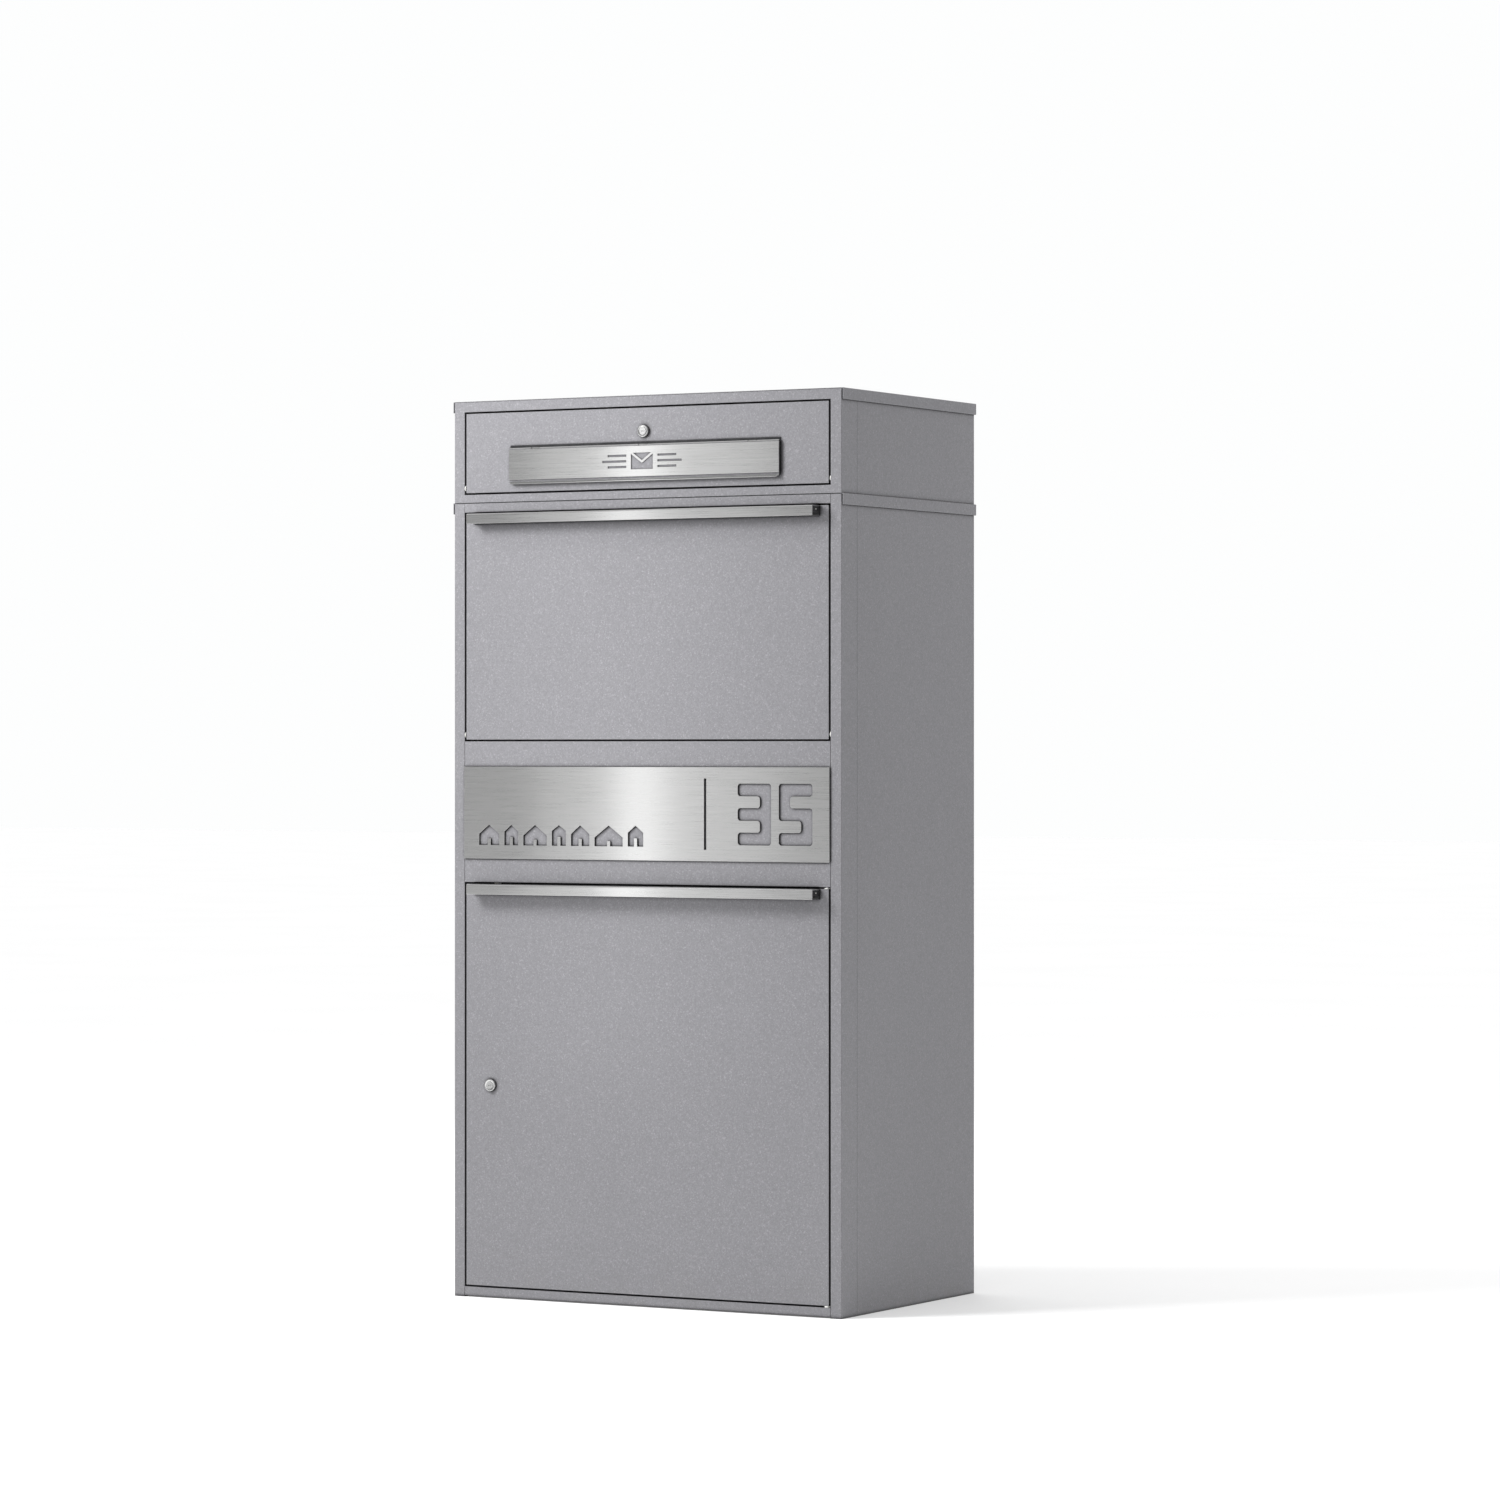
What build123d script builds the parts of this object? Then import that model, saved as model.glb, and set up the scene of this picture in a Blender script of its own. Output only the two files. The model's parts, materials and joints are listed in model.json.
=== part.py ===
from build123d import *
from math import cos, radians, sin, sqrt
import os

# Parcel drop box: a sheet-metal parcel case with a drop door, a house-number plate and a
# removal door, and a letterbox module of the same width on top of it.
# X runs across the front, the front faces -Y, Z is up. The origin is on the ground, in the
# middle of the base. All sizes are in millimetres.

# Overall sizes
overall_width = 720.0
overall_depth = 454.0
parcel_height = 1285.0       # ground to the top of the parcel lid
letterbox_height = 164.0     # the module that stands on it
drop_door_height = 365.0     # the removal door takes the height that is left below
middle_panel_height = 228.0
slot_rise = 44.0             # parcel lid to the lower edge of the letter slot

# Sheet thicknesses
case_sheet = 1.5
door_sheet = 1.5
lid_sheet = 1.5
base_sheet = 2.0
plate_sheet = 1.5
bend = 1.0                   # outside radius where sheet is folded
skin_bend = 0.8              # radius round a door's front face

# Case
lid_overhang = 3.0           # lid skirt's outer face beyond the case side
lid_skirt = 18.0
lid_clearance = 0.5          # lid skirt to the case back
lid_recess = 1.0             # lid edge behind the front faces
stile_width = 19.5
corner_return = 51.0         # depth of the stile's outer leg
stop_width = 12.0
stop_clearance = 2.5         # door stops behind the parcel doors
rail_stop = 6.0              # door stop under the parcel case's top rail
seam = 0.4
lap = 14.0
flange = 20.0
sill_height = 16.5           # top edge of the bottom rail
sill_lift = 1.5              # its lower edge above the ground
parcel_rail = 16.0           # parcel lid top to the lower edge of the top rail
letterbox_rail = 17.5
letterbox_sill = 13.0
panel_flange = 18.0
foot = 15.0

# Door gaps
side_gap = 3.0
end_gap = 2.5

# Doors
pan_depth = 26.0
pivot_rise = 8.0             # pivot axis above the lower edge of a drop-down door
pin_radius = 2.5
pin_play = 0.05
pin_head_lip = 0.8           # head's radius beyond the pin's
pin_head = 2.0
pin_head_gap = 0.2           # head to the door skin
pin_reach = 7.0              # upright pins' length inside the removal door
pin_stand = 6.0              # side pins' length beyond the frame
bush_wall = 0.9
bush_flange = 1.2
bush_flange_gap = 0.2        # bush flange behind the front face
bush_tail = 1.5
bearing_gap = 0.1            # removal door's lower bush above the bottom rail
buffer_radius = 4.0
buffer_gap = 0.2
buffer_shift = 2.0           # towards the middle from the middle of the stop
buffer_margin = 60.0         # buffer from the door's upper and lower edges
drop_buffer_margin = 40.0    # the same under the drop door's top edge
letter_buffer_margin = 30.0

# Handles
handle_height = 16.5
handle_stand = 25.0
handle_inset = 16.0
handle_sheet = 2.0
handle_radius = 3.0
handle_edge_round = 0.6
handle_gap = 1.0             # cover's rear edge to the door
core_block = 9.0
core_leg = 4.0
core_round = 1.5
core_slack = 0.2             # core's radius beyond the cover's inner radius
screw_inset = 50.0           # outer screws from the handle's ends
screw_radius = 2.0
screw_head_radius = 4.0
screw_head = 2.0
screw_bite = 9.0

# Hopper behind the drop door
cheek_sheet = 1.5
cheek_inset = 11.5           # cheek's outer face from the edge of the door
cheek_clearance = 12.0       # cheek's arc below the top of the door
cheek_angle = 50.0
tray_slope = 45.0
tray_length = 285.0
tray_play = 0.2
tray_bend = 1.0              # tray's fold behind the edge of the door pan
tray_setback = 1.0           # tray's front edge behind the door skin
weight_width = 30.0
weight_thick = 10.0
weight_inset = 10.0
guard_clearance = 15.0       # guard's front edge beyond the tray's sweep
guard_drop = 55.0
guard_rise = 50.0            # guard's rear edge above the hopper pivot
guard_leg = 25.0

# House-number plate
number_plate_margin = 0.5    # plate's end from the edge of the opening
number_plate_height = 148.5
number_plate_rise = 38.5     # plate's lower edge above the middle panel's
number_plate_round = 0.4
pad_thick = 1.5
pad_length = 40.0
pad_height = 12.0
pad_inset = 4.0              # outer pads from the plate's ends
pad_margin = 3.0             # pads from the plate's upper and lower edges
number_slot_inset = 223.2    # dividing slot from the plate's right end
number_slot_width = 4.0
number_slot_margin = 18.0
digit_width = 60.0
digit_height = 97.0
digit_stroke = 20.0
digit_gap = 14.0
digit_round = 5.0
digit_margin = 30.0          # last digit from the plate's right end
motif_height = 33.0
motif_rise = 22.0
motif_margin = 29.0          # first house from the plate's left end
motif_clear = 113.8          # last house from the dividing slot
motif_gap = 10.0
house_shares = (38.0, 26.0, 44.0, 26.0, 34.0, 52.0, 28.0)
house_eaves = (18.0, 22.0, 16.0, 24.0, 19.0, 14.0, 22.0)
house_door = 6.0
house_door_share = 0.6       # door's height as a share of the eaves'

# Letter flap
flap_width = 498.0
slot_cover = 14.0            # flap beyond each end of the slot
slot_round = 3.0
lock_clear = 28.5            # slot's upper edge below the lock's axis
flap_overlap = 16.5          # flap's lip below the slot's lower edge
flap_axis_rise = 6.0         # flap pivot above the slot's upper edge
flap_axis_stand = 3.0        # flap pivot in front of the door
rod_radius = 1.5
knuckle_radius = 2.6
lug_radius = 2.2
lug_length = 14.0
lug_gap = 0.5
lug_inset = 49.0             # outer lugs from the flap's ends
lug_web = 0.8
flap_sheet = 1.5
lip_radius = 2.5
lip_end = 1.0
flap_corner = 5.0
flap_end_gap = 0.5           # flap sheet inside the name plate's ends
rod_setback = 2.0            # hinge rod's ends inside the flap's end caps
cap_gap = 0.6                # end caps to the door
cap_drop = 3.0               # their upper edges below the flap's axis
name_plate_sheet = 1.2
name_plate_drop = 0.5        # plate's upper edge below the flap's axis
name_plate_overlap = 9.5     # its lower edge below the slot's lower edge
name_plate_round = 0.9
strip_height = 3.1
strip_thick = 1.5
strip_gap = 0.3
cap_sheet = 1.5
picture_height = 49.0        # plate height that the picture is drawn for
envelope_width = 40.0
envelope_height = 26.0
envelope_bar = 2.4
envelope_fold = 1.0          # lowest point of the fold below the middle
dash_start = 9.0
dash_length = 44.0
dash_taper = 0.22
dash_height = 3.4
dash_pitch = 9.0

# Locks
lock_barrel_radius = 8.25
lock_barrel_wall = 2.25
lock_head_lip = 1.5          # head's radius beyond the barrel's
lock_head = 3.5
lock_head_round = 0.8
lock_rear = 15.0             # end of the barrel behind the front face
plug_rear = 16.5
plug_recess = 0.3
ring_lip = 0.5               # ring's radius beyond the head's
ring_thick = 1.5
ring_round = 0.4
nut_wall = 3.75
nut_thick = 4.0
key_width = 7.0
key_height = 1.6
key_depth = 9.0
cam_thick = 2.5
cam_width = 14.0
cam_length = 43.0
cam_play = 2.0
cam_gap = 0.5                # cam behind the letter door's flanges
cam_hub_lip = 1.5
cam_nut_radius = 4.5
cam_nut_thick = 2.5
letter_lock_drop = 37.5      # lock axis below the letter door's top edge
lower_lock_inset = 47.5      # lock axis from the removal door's left edge

# Rod lock on the removal door
crank_radius = 15.0
crank_pin_radius = 2.0
crank_pin_offset = 8.0       # crank pins from the lock axis, across and upright
crank_pin_end = 0.8          # crank pins beyond the rods
crank_nut_radius = 3.6
crank_nut_thick = 2.0
rod_width = 12.0
rod_thick = 3.0
rod_play = 0.3
rod_tip = 2.0                # unlocked rod's tip beyond the door's edge
rod_start = 14.0             # rods start this far from the lock axis
rod_shoulder = 6.0
tongue_width = 11.2
tongue_reach = 11.0
tongue_wall = 1.2
slot_half = 2.5
slot_play = 0.5
guide_wall = 2.5
guide_width = 26.0
guide_height = 14.0
guide_places = (-170.0, 170.0)

# Joining bolts
bolt_radius = 3.0
bolt_head_radius = 5.5
bolt_head = 4.0
bolt_reach = 10.0            # bolt below the parcel case's top plane
bolt_nut = 5.0
bolt_inset = 97.0            # bolts from the front and the back
hole_inset = 80.0            # bolts, anchor holes and wall holes from the sides
anchor_radius = 5.5
anchor_inset = 77.0          # anchor holes from the front and the back
wall_hole_radius = 4.25
wall_low = 180.0
wall_drop = 205.0            # upper wall holes below the parcel lid

# Places that follow from the sizes above
front = -overall_depth / 2
back = overall_depth / 2
lid_half = overall_width / 2
case_half = lid_half - lid_overhang
case_back = back - lid_sheet - lid_clearance
opening_half = case_half - stile_width
door_half = opening_half - side_gap
stop_front = front + pan_depth + stop_clearance
stop_back = stop_front + case_sheet
skin_back = front + door_sheet
parcel_top = parcel_height - lid_sheet
overall_height = parcel_height + letterbox_height
letterbox_top = overall_height - lid_sheet
rail_edge = parcel_height - parcel_rail
drop_top = rail_edge - end_gap
drop_low = drop_top - drop_door_height
panel_top = drop_low - end_gap
panel_low = panel_top - middle_panel_height
lower_door_top = panel_low - end_gap
lower_door_low = sill_height + end_gap
letter_sill_top = parcel_height + letterbox_sill
letter_low = letter_sill_top + end_gap
letter_rail_edge = overall_height - letterbox_rail
letter_top = letter_rail_edge - end_gap
pin_head_radius = pin_radius + pin_head_lip
bush_radius = pin_radius + bush_wall
pivot_depth = door_sheet + pin_head_radius + pin_head_gap
bush_flange_radius = pivot_depth - bush_flange_gap
pivot_y = front + pivot_depth
drop_axis = drop_low + pivot_rise
letter_axis = letter_low + pivot_rise
lower_axis_x = door_half - pivot_depth
letter_lock_z = letter_top - letter_lock_drop
lower_lock_x = -door_half + lower_lock_inset
lower_lock_z = (lower_door_low + lower_door_top) / 2
lock_head_radius = lock_barrel_radius + lock_head_lip
ring_radius = lock_head_radius + ring_lip
plug_radius = lock_barrel_radius - lock_barrel_wall
nut_radius = lock_barrel_radius + nut_wall
letter_pan_depth = plug_rear - cam_gap
cam_front = front + plug_rear
cam_back = cam_front + cam_thick
rod_front = cam_back + rod_play
rod_back = rod_front + rod_thick
cheek_outer = door_half - cheek_inset
cheek_inner = cheek_outer - cheek_sheet
tray_half = cheek_inner - tray_play
tray_y = front + pan_depth + tray_bend
slot_edge = parcel_height + slot_rise
slot_top = letter_lock_z - lock_clear
flap_axis_z = slot_top + flap_axis_rise
flap_axis_y = front - flap_axis_stand
flap_face = flap_axis_y - knuckle_radius
flap_low = slot_edge - flap_overlap
name_plate_low = slot_edge - name_plate_overlap
name_plate_top = flap_axis_z - name_plate_drop
number_plate_half = opening_half - number_plate_margin
number_slot_x = number_plate_half - number_slot_inset
plate_front = front - pad_thick - plate_sheet
plate_low = panel_low + number_plate_rise
plate_top = plate_low + number_plate_height
hole_x = lid_half - hole_inset


def block(x, y, z):
    """A box between low and high values along each axis."""
    middle = [(low + high) / 2 for low, high in (x, y, z)]
    return Pos(*middle) * Box(x[1] - x[0], y[1] - y[0], z[1] - z[0])


def rod(axis, a, b, radius, low, high):
    """A cylinder along an axis; a and b are its other two coordinates in X, Y, Z order."""
    middle = (low + high) / 2
    if axis == "X":
        return Pos(middle, a, b) * Rot(0, 90, 0) * Cylinder(radius, high - low)
    if axis == "Y":
        return Pos(a, middle, b) * Rot(90, 0, 0) * Cylinder(radius, high - low)
    return Pos(a, b, middle) * Cylinder(radius, high - low)


def outline(points, x):
    """A sheet with its outline in the YZ plane, between two places along X."""
    face = make_face(Polyline([(x[0], y, z) for y, z in points], close=True))
    return extrude(face, amount=x[1] - x[0], dir=(1, 0, 0))


def silhouette(points, y):
    """A solid with its outline in the XZ plane, between two places along Y."""
    face = make_face(Polyline([(x, y[0], z) for x, z in points], close=True))
    return extrude(face, amount=y[1] - y[0], dir=(0, 1, 0))


def hexagon(axis, a, b, radius, low, high):
    """A hexagonal prism along Y or Z."""
    face = RegularPolygon(radius, 6)
    if axis == "Y":
        return Pos(a, high, b) * Rot(90, 0, 0) * extrude(face, amount=high - low)
    return Pos(a, b, low) * extrude(face, amount=high - low)


def edges_at(solid, axis, x=None, y=None, z=None):
    """Edges along an axis whose middles lie at the given coordinates."""
    picked = []
    for edge in solid.edges().filter_by(axis):
        centre = edge.center()
        pairs = ((x, centre.X), (y, centre.Y), (z, centre.Z))
        if all(want is None or abs(want - have) < 1e-3 for want, have in pairs):
            picked.append(edge)
    return picked


def face_edges(solid, y):
    """All straight edges that lie in one plane facing along Y."""
    return edges_at(solid, Axis.X, y=y) + edges_at(solid, Axis.Z, y=y)


def mirrored(solid):
    return mirror(solid, about=Plane.YZ)


def group(solids):
    return Compound(children=list(solids))


# ---- parcel case ----

def stile():
    """Right-hand front post: face, outer leg, inner leg and door stop, folded from one sheet."""
    height = (0.0, parcel_top)
    face = block((opening_half, case_half), (front, front + case_sheet), height)
    outer = block((case_half - case_sheet, case_half), (front, front + corner_return), height)
    inner = block((opening_half, opening_half + case_sheet), (front, stop_back), height)
    stop = block((opening_half - stop_width, opening_half + case_sheet), (stop_front, stop_back), height)
    post = face + outer + inner + stop
    post = fillet(edges_at(post, Axis.Z, x=case_half, y=front), bend)
    post = fillet(edges_at(post, Axis.Z, x=opening_half, y=front), bend)
    post -= rod("X", pivot_y, drop_axis, bush_radius, opening_half - 1, opening_half + case_sheet + 1)
    return post


def side_panel(low, top, lap_low):
    """Right-hand side sheet with a joggled lap, a rear flange and a top flange."""
    start = front + corner_return
    rear = case_back - case_sheet
    inner = case_half - case_sheet
    sheet = block((inner, case_half), (start + seam, rear), (low, top))
    joggle = block((inner - case_sheet, inner), (start - lap, start + lap), (lap_low, top - case_sheet))
    rear_leg = block((inner - flange, case_half), (rear - case_sheet, rear), (low, top))
    top_leg = block((inner - flange, inner), (start + seam, rear - case_sheet), (top - case_sheet, top))
    return sheet + joggle + rear_leg + top_leg


def back_panel(low, top):
    return block((-case_half, case_half), (case_back - case_sheet, case_back), (low, top))


def parcel_back():
    panel = back_panel(0.0, parcel_top)
    for x in (-hole_x, hole_x):
        for z in (wall_low, parcel_height - wall_drop):
            panel -= rod("Y", x, z, wall_hole_radius, case_back - case_sheet - 1, case_back + 1)
    return panel


def base_plate():
    half = case_half - case_sheet
    rear = case_back - 2 * case_sheet
    leg = base_sheet + flange - case_sheet
    plate = block((-half, half), (stop_back, rear), (0.0, base_sheet))
    for side in (-1, 1):
        x = sorted((side * half, side * (half - case_sheet)))
        plate += block(x, (stop_back, rear), (0.0, leg))
    for x in (-hole_x, hole_x):
        for y in (front + anchor_inset, back - anchor_inset):
            plate -= rod("Z", x, y, anchor_radius, -1, base_sheet + 1)
    return plate


def bottom_rail():
    """Folded rail under the removal door: face, top and a rear leg that meets the base plate."""
    half = opening_half
    inner = half - stop_width
    top = (sill_height - case_sheet, sill_height)
    rail = block((-half, half), (front, front + case_sheet), (sill_lift, sill_height))
    rail += block((-half, half), (front, stop_front), top)
    rail += block((-inner, inner), (stop_front - case_sheet, stop_back), top)
    rail += block((-inner, inner), (stop_front, stop_back), (0.0, sill_height))
    rail = fillet(face_edges(rail, front), bend)
    rail -= rod("Z", lower_axis_x, pivot_y, pin_radius, top[0] - 1, top[1] + 1)
    return rail - rod_slot(*top)


def rod_slot(low, high):
    """Hole for a lock rod through a sheet that lies between two heights."""
    half = rod_width / 2 + rod_play
    y = (rod_front - rod_play, rod_back + rod_play)
    return block((lower_lock_x - half, lower_lock_x + half), y, (low - 1, high + 1))


def parcel_top_rail():
    rail = block((-opening_half, opening_half), (front, front + case_sheet), (rail_edge, parcel_top))
    rail += block((-opening_half, opening_half), (front, stop_front), (rail_edge, rail_edge + case_sheet))
    inner = opening_half - stop_width
    rail += block((-inner, inner), (stop_front - case_sheet, stop_back), (rail_edge, rail_edge + case_sheet))
    rail += block((-inner, inner), (stop_front, stop_back), (rail_edge - rail_stop, rail_edge + case_sheet))
    top = (parcel_top - case_sheet, parcel_top)
    rail += block((-opening_half, opening_half), (front, front + flange), top)
    return fillet(edges_at(rail, Axis.X, y=front, z=rail_edge), bend)


def middle_panel():
    """Fixed front panel between the two parcel doors."""
    half = opening_half
    inner = half - stop_width
    panel = block((-half, half), (front, front + case_sheet), (panel_low, panel_top))
    panel += block((-half, half), (front, front + panel_flange), (panel_top - case_sheet, panel_top))
    panel += block((-half, half), (front, stop_front), (panel_low, panel_low + case_sheet))
    panel += block((-inner, inner), (stop_front - 1, stop_back), (panel_low, panel_low + case_sheet))
    stop = (panel_low - stop_width, panel_low + case_sheet)
    panel += block((-inner, inner), (stop_front, stop_back), stop)
    for side in (-1, 1):
        x = sorted((side * half, side * (half - case_sheet)))
        panel += block(x, (front, front + panel_flange), (panel_low, panel_top))
    panel = fillet(face_edges(panel, front), bend)
    panel -= rod("Z", lower_axis_x, pivot_y, pin_radius, panel_low - 1, panel_low + case_sheet + 1)
    return panel - rod_slot(panel_low, panel_low + case_sheet)


def lid(top):
    """Cap over a case: top sheet, side skirts and rear skirt."""
    edge = front + lid_recess
    skirt = (top - lid_skirt, top)
    cap = block((-lid_half, lid_half), (edge, back), (top - lid_sheet, top))
    for side in (-1, 1):
        x = sorted((side * lid_half, side * (lid_half - lid_sheet)))
        cap += block(x, (edge, back), skirt)
    cap += block((-lid_half, lid_half), (back - lid_sheet, back), skirt)
    for side in (-1, 1):
        cap = fillet(edges_at(cap, Axis.Y, x=side * lid_half, z=top), bend)
        cap = fillet(edges_at(cap, Axis.Y, x=side * lid_half, z=top - lid_skirt), bend)
    return cap


def bolt_spots():
    for x in (-hole_x, hole_x):
        for y in (front + bolt_inset, back - bolt_inset):
            yield x, y


def with_bolt_holes(solid, low, high):
    for x, y in bolt_spots():
        solid -= rod("Z", x, y, bolt_radius, low - 1, high + 1)
    return solid


def theft_guard():
    """Sloping sheet behind the hopper that keeps hands off the parcels below."""
    wall = case_back - case_sheet
    half = case_half - case_sheet - flange - lap
    high = drop_axis + guard_rise
    low = high - guard_drop
    tip = pivot_y + tray_sweep() + guard_clearance
    points = [(wall, high + guard_leg), (wall, high), (tip, low), (tip, low + case_sheet),
              (wall - case_sheet, high + case_sheet), (wall - case_sheet, high + guard_leg)]
    return outline(points, (-half, half))


# ---- letterbox case ----

def letterbox_front():
    """Front frame of the letterbox: face, corner legs, rebate round the door and door stops."""
    z = (parcel_height, letterbox_top)
    face = block((-case_half, case_half), (front, front + case_sheet), z)
    half = opening_half
    hole = (letter_sill_top, letter_rail_edge)
    frame = face - block((-half, half), (front - 1, front + case_sheet + 1), hole)
    for side in (-1, 1):
        x = sorted((side * case_half, side * (case_half - case_sheet)))
        frame += block(x, (front, front + corner_return), z)
    wall = half + case_sheet
    ring = (letter_sill_top - case_sheet, letter_rail_edge + case_sheet)
    rebate = block((-wall, wall), (front, stop_back), ring)
    frame += rebate - block((-half, half), (front - 1, stop_back + 1), hole)
    inner = half - stop_width
    stops = block((-wall, wall), (stop_front, stop_back), ring)
    frame += stops - block((-inner, inner), (stop_front - 1, stop_back + 1),
                           (letter_sill_top, letter_rail_edge - stop_width))
    frame += block((-inner, inner), (stop_front, stop_back), (parcel_height + case_sheet, letter_sill_top))
    foot_z = (parcel_height + case_sheet, parcel_height + 2 * case_sheet)
    frame += block((-inner, inner), (stop_front, stop_back + foot), foot_z)
    top_leg = (letterbox_top - case_sheet, letterbox_top)
    frame += block((-case_half, case_half), (front, front + flange), top_leg)
    for side in (-1, 1):
        frame = fillet(edges_at(frame, Axis.Z, x=side * case_half, y=front), bend)
        frame = fillet(edges_at(frame, Axis.Z, x=side * half, y=front), bend)
    for height in hole:
        frame = fillet(edges_at(frame, Axis.X, y=front, z=height), bend)
    for side in (-1, 1):
        x = sorted((side * (half - 1), side * (wall + 1)))
        frame -= rod("X", pivot_y, letter_axis, bush_radius, *x)
    swing = sqrt(cam_length ** 2 - (letter_rail_edge - letter_lock_z) ** 2)
    slot_y = (cam_front - cam_play, cam_back + cam_play)
    slot_z = (letter_rail_edge - 1, letter_rail_edge + case_sheet + 1)
    return frame - block((-cam_width / 2 - cam_play, swing + cam_play), slot_y, slot_z)


def letterbox_floor():
    half = case_half - case_sheet
    z = (parcel_height, parcel_height + case_sheet)
    return block((-half, half), (front + case_sheet, case_back - 2 * case_sheet), z)


# ---- doors ----

def door_pan(low, top, depth):
    """Folded door: a skin with four flanges."""
    pan = block((-door_half, door_half), (front, front + depth), (low, top))
    inner = door_half - door_sheet
    pan -= block((-inner, inner), (skin_back, front + depth + 1), (low + door_sheet, top - door_sheet))
    pan = fillet(edges_at(pan, Axis.Y, x=-door_half) + edges_at(pan, Axis.Y, x=door_half), bend)
    return fillet(pan.faces().sort_by(Axis.Y)[0].edges(), skin_bend)


def side_pin_holes(pan, axis_z):
    for side in (-1, 1):
        x = sorted((side * (door_half - door_sheet - 1), side * (door_half + 1)))
        pan -= rod("X", pivot_y, axis_z, pin_radius, *x)
    return pan


def side_pins(axis_z):
    """Headed pins that stand out of a drop-down door's side flanges."""
    flange_face = door_half - door_sheet
    reach = opening_half + case_sheet + pin_stand
    pin = rod("X", pivot_y, axis_z, pin_radius, flange_face - pin_head, reach)
    pin += rod("X", pivot_y, axis_z, pin_head_radius, flange_face - pin_head, flange_face)
    return group([pin, mirrored(pin)])


def side_bush(axis_z):
    """Flanged bush in the frame; its flange stands in the gap beside the door."""
    tail = opening_half + case_sheet + bush_tail
    body = rod("X", pivot_y, axis_z, bush_radius, opening_half - bush_flange, tail)
    body += rod("X", pivot_y, axis_z, bush_flange_radius, opening_half - bush_flange, opening_half)
    return body - rod("X", pivot_y, axis_z, pin_radius + pin_play, opening_half - 5, opening_half + 9)


def handle_span():
    return door_half - handle_inset


def handle_bar(top):
    """Stainless cover of a handle, folded over the front and top."""
    half = handle_span()
    z = (top - handle_height, top)
    face = front - handle_stand
    bar = block((-half, half), (face, face + handle_sheet), z)
    bar += block((-half, half), (face, front - handle_gap), (top - handle_sheet, top))
    bar = fillet(edges_at(bar, Axis.X, y=face, z=top), handle_radius)
    inside = edges_at(bar, Axis.X, y=face + handle_sheet, z=top - handle_sheet)
    bar = fillet(inside, handle_radius - handle_sheet)
    return fillet(edges_at(bar, Axis.X, y=face, z=top - handle_height), handle_edge_round)


def handle_core(top):
    """Black carrier inside a handle: a block along the top and a leg against the door."""
    half = handle_span()
    low = top - handle_height
    inside = front - handle_stand + handle_sheet
    upper = top - handle_sheet
    core = block((-half, half), (inside, front), (upper - core_block, upper))
    inner_radius = handle_radius - handle_sheet + core_slack
    core = fillet(edges_at(core, Axis.X, y=inside, z=upper), inner_radius)
    core += block((-half, half), (front - core_leg, front), (low, upper))
    core = fillet(edges_at(core, Axis.X, y=front - core_leg, z=low), core_round)
    for x in screw_spots():
        core -= rod("Y", x, screw_height(top), screw_radius, front - screw_bite, front + 1)
    return core


def screw_spots():
    outer = handle_span() - screw_inset
    return [outer * share for share in (-1.0, -1 / 3, 1 / 3, 1.0)]


def screw_height(top):
    return top - handle_sheet - core_block / 2


def handle_screws(top):
    screws = []
    for x in screw_spots():
        shank = rod("Y", x, screw_height(top), screw_radius, front - screw_bite, skin_back)
        head = rod("Y", x, screw_height(top), screw_head_radius, skin_back, skin_back + screw_head)
        screws.append(shank + head)
    return group(screws)


def with_screw_holes(pan, top):
    for x in screw_spots():
        pan -= rod("Y", x, screw_height(top), screw_radius, front - 1, skin_back + 1)
    return pan


def drop_door():
    pan = side_pin_holes(door_pan(drop_low, drop_top, pan_depth), drop_axis)
    return with_screw_holes(pan, drop_top)


def lower_door():
    """Removal door, hung on upright pins at its right edge."""
    pan = door_pan(lower_door_low, lower_door_top, pan_depth)
    pan = with_screw_holes(pan, lower_door_top)
    for low, high in ((lower_door_low, lower_door_low + door_sheet),
                      (lower_door_top - door_sheet, lower_door_top)):
        pan -= rod("Z", lower_axis_x, pivot_y, bush_radius, low - 1, high + 1)
        pan -= rod_slot(low, high)
    return pan - rod("Y", lower_lock_x, lower_lock_z, lock_barrel_radius, front - 1, skin_back + 1)


def lower_pins():
    """Upright pins riveted into the middle panel and the bottom rail."""
    top_head = panel_low + case_sheet
    upper = rod("Z", lower_axis_x, pivot_y, pin_radius, lower_door_top - pin_reach, top_head + pin_head)
    upper += rod("Z", lower_axis_x, pivot_y, pin_head_radius, top_head, top_head + pin_head)
    low_head = sill_height - case_sheet
    lower = rod("Z", lower_axis_x, pivot_y, pin_radius, low_head - pin_head, lower_door_low + pin_reach)
    lower += rod("Z", lower_axis_x, pivot_y, pin_head_radius, low_head - pin_head, low_head)
    return group([upper, lower])


def lower_bushes():
    """Flanged bushes in the removal door's top and bottom flanges."""
    spots = ((sill_height + bearing_gap, lower_door_low, lower_door_low + door_sheet + bush_tail),
             (lower_door_top + bush_flange, lower_door_top, lower_door_top - door_sheet - bush_tail))
    bushes = []
    for tip, seat, inner_end in spots:
        body = rod("Z", lower_axis_x, pivot_y, bush_radius, *sorted((seat, inner_end)))
        body += rod("Z", lower_axis_x, pivot_y, bush_flange_radius, *sorted((tip, seat)))
        hole = rod("Z", lower_axis_x, pivot_y, pin_radius + pin_play, tip - 20, tip + 20)
        bushes.append(body - hole)
    return group(bushes)


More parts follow.
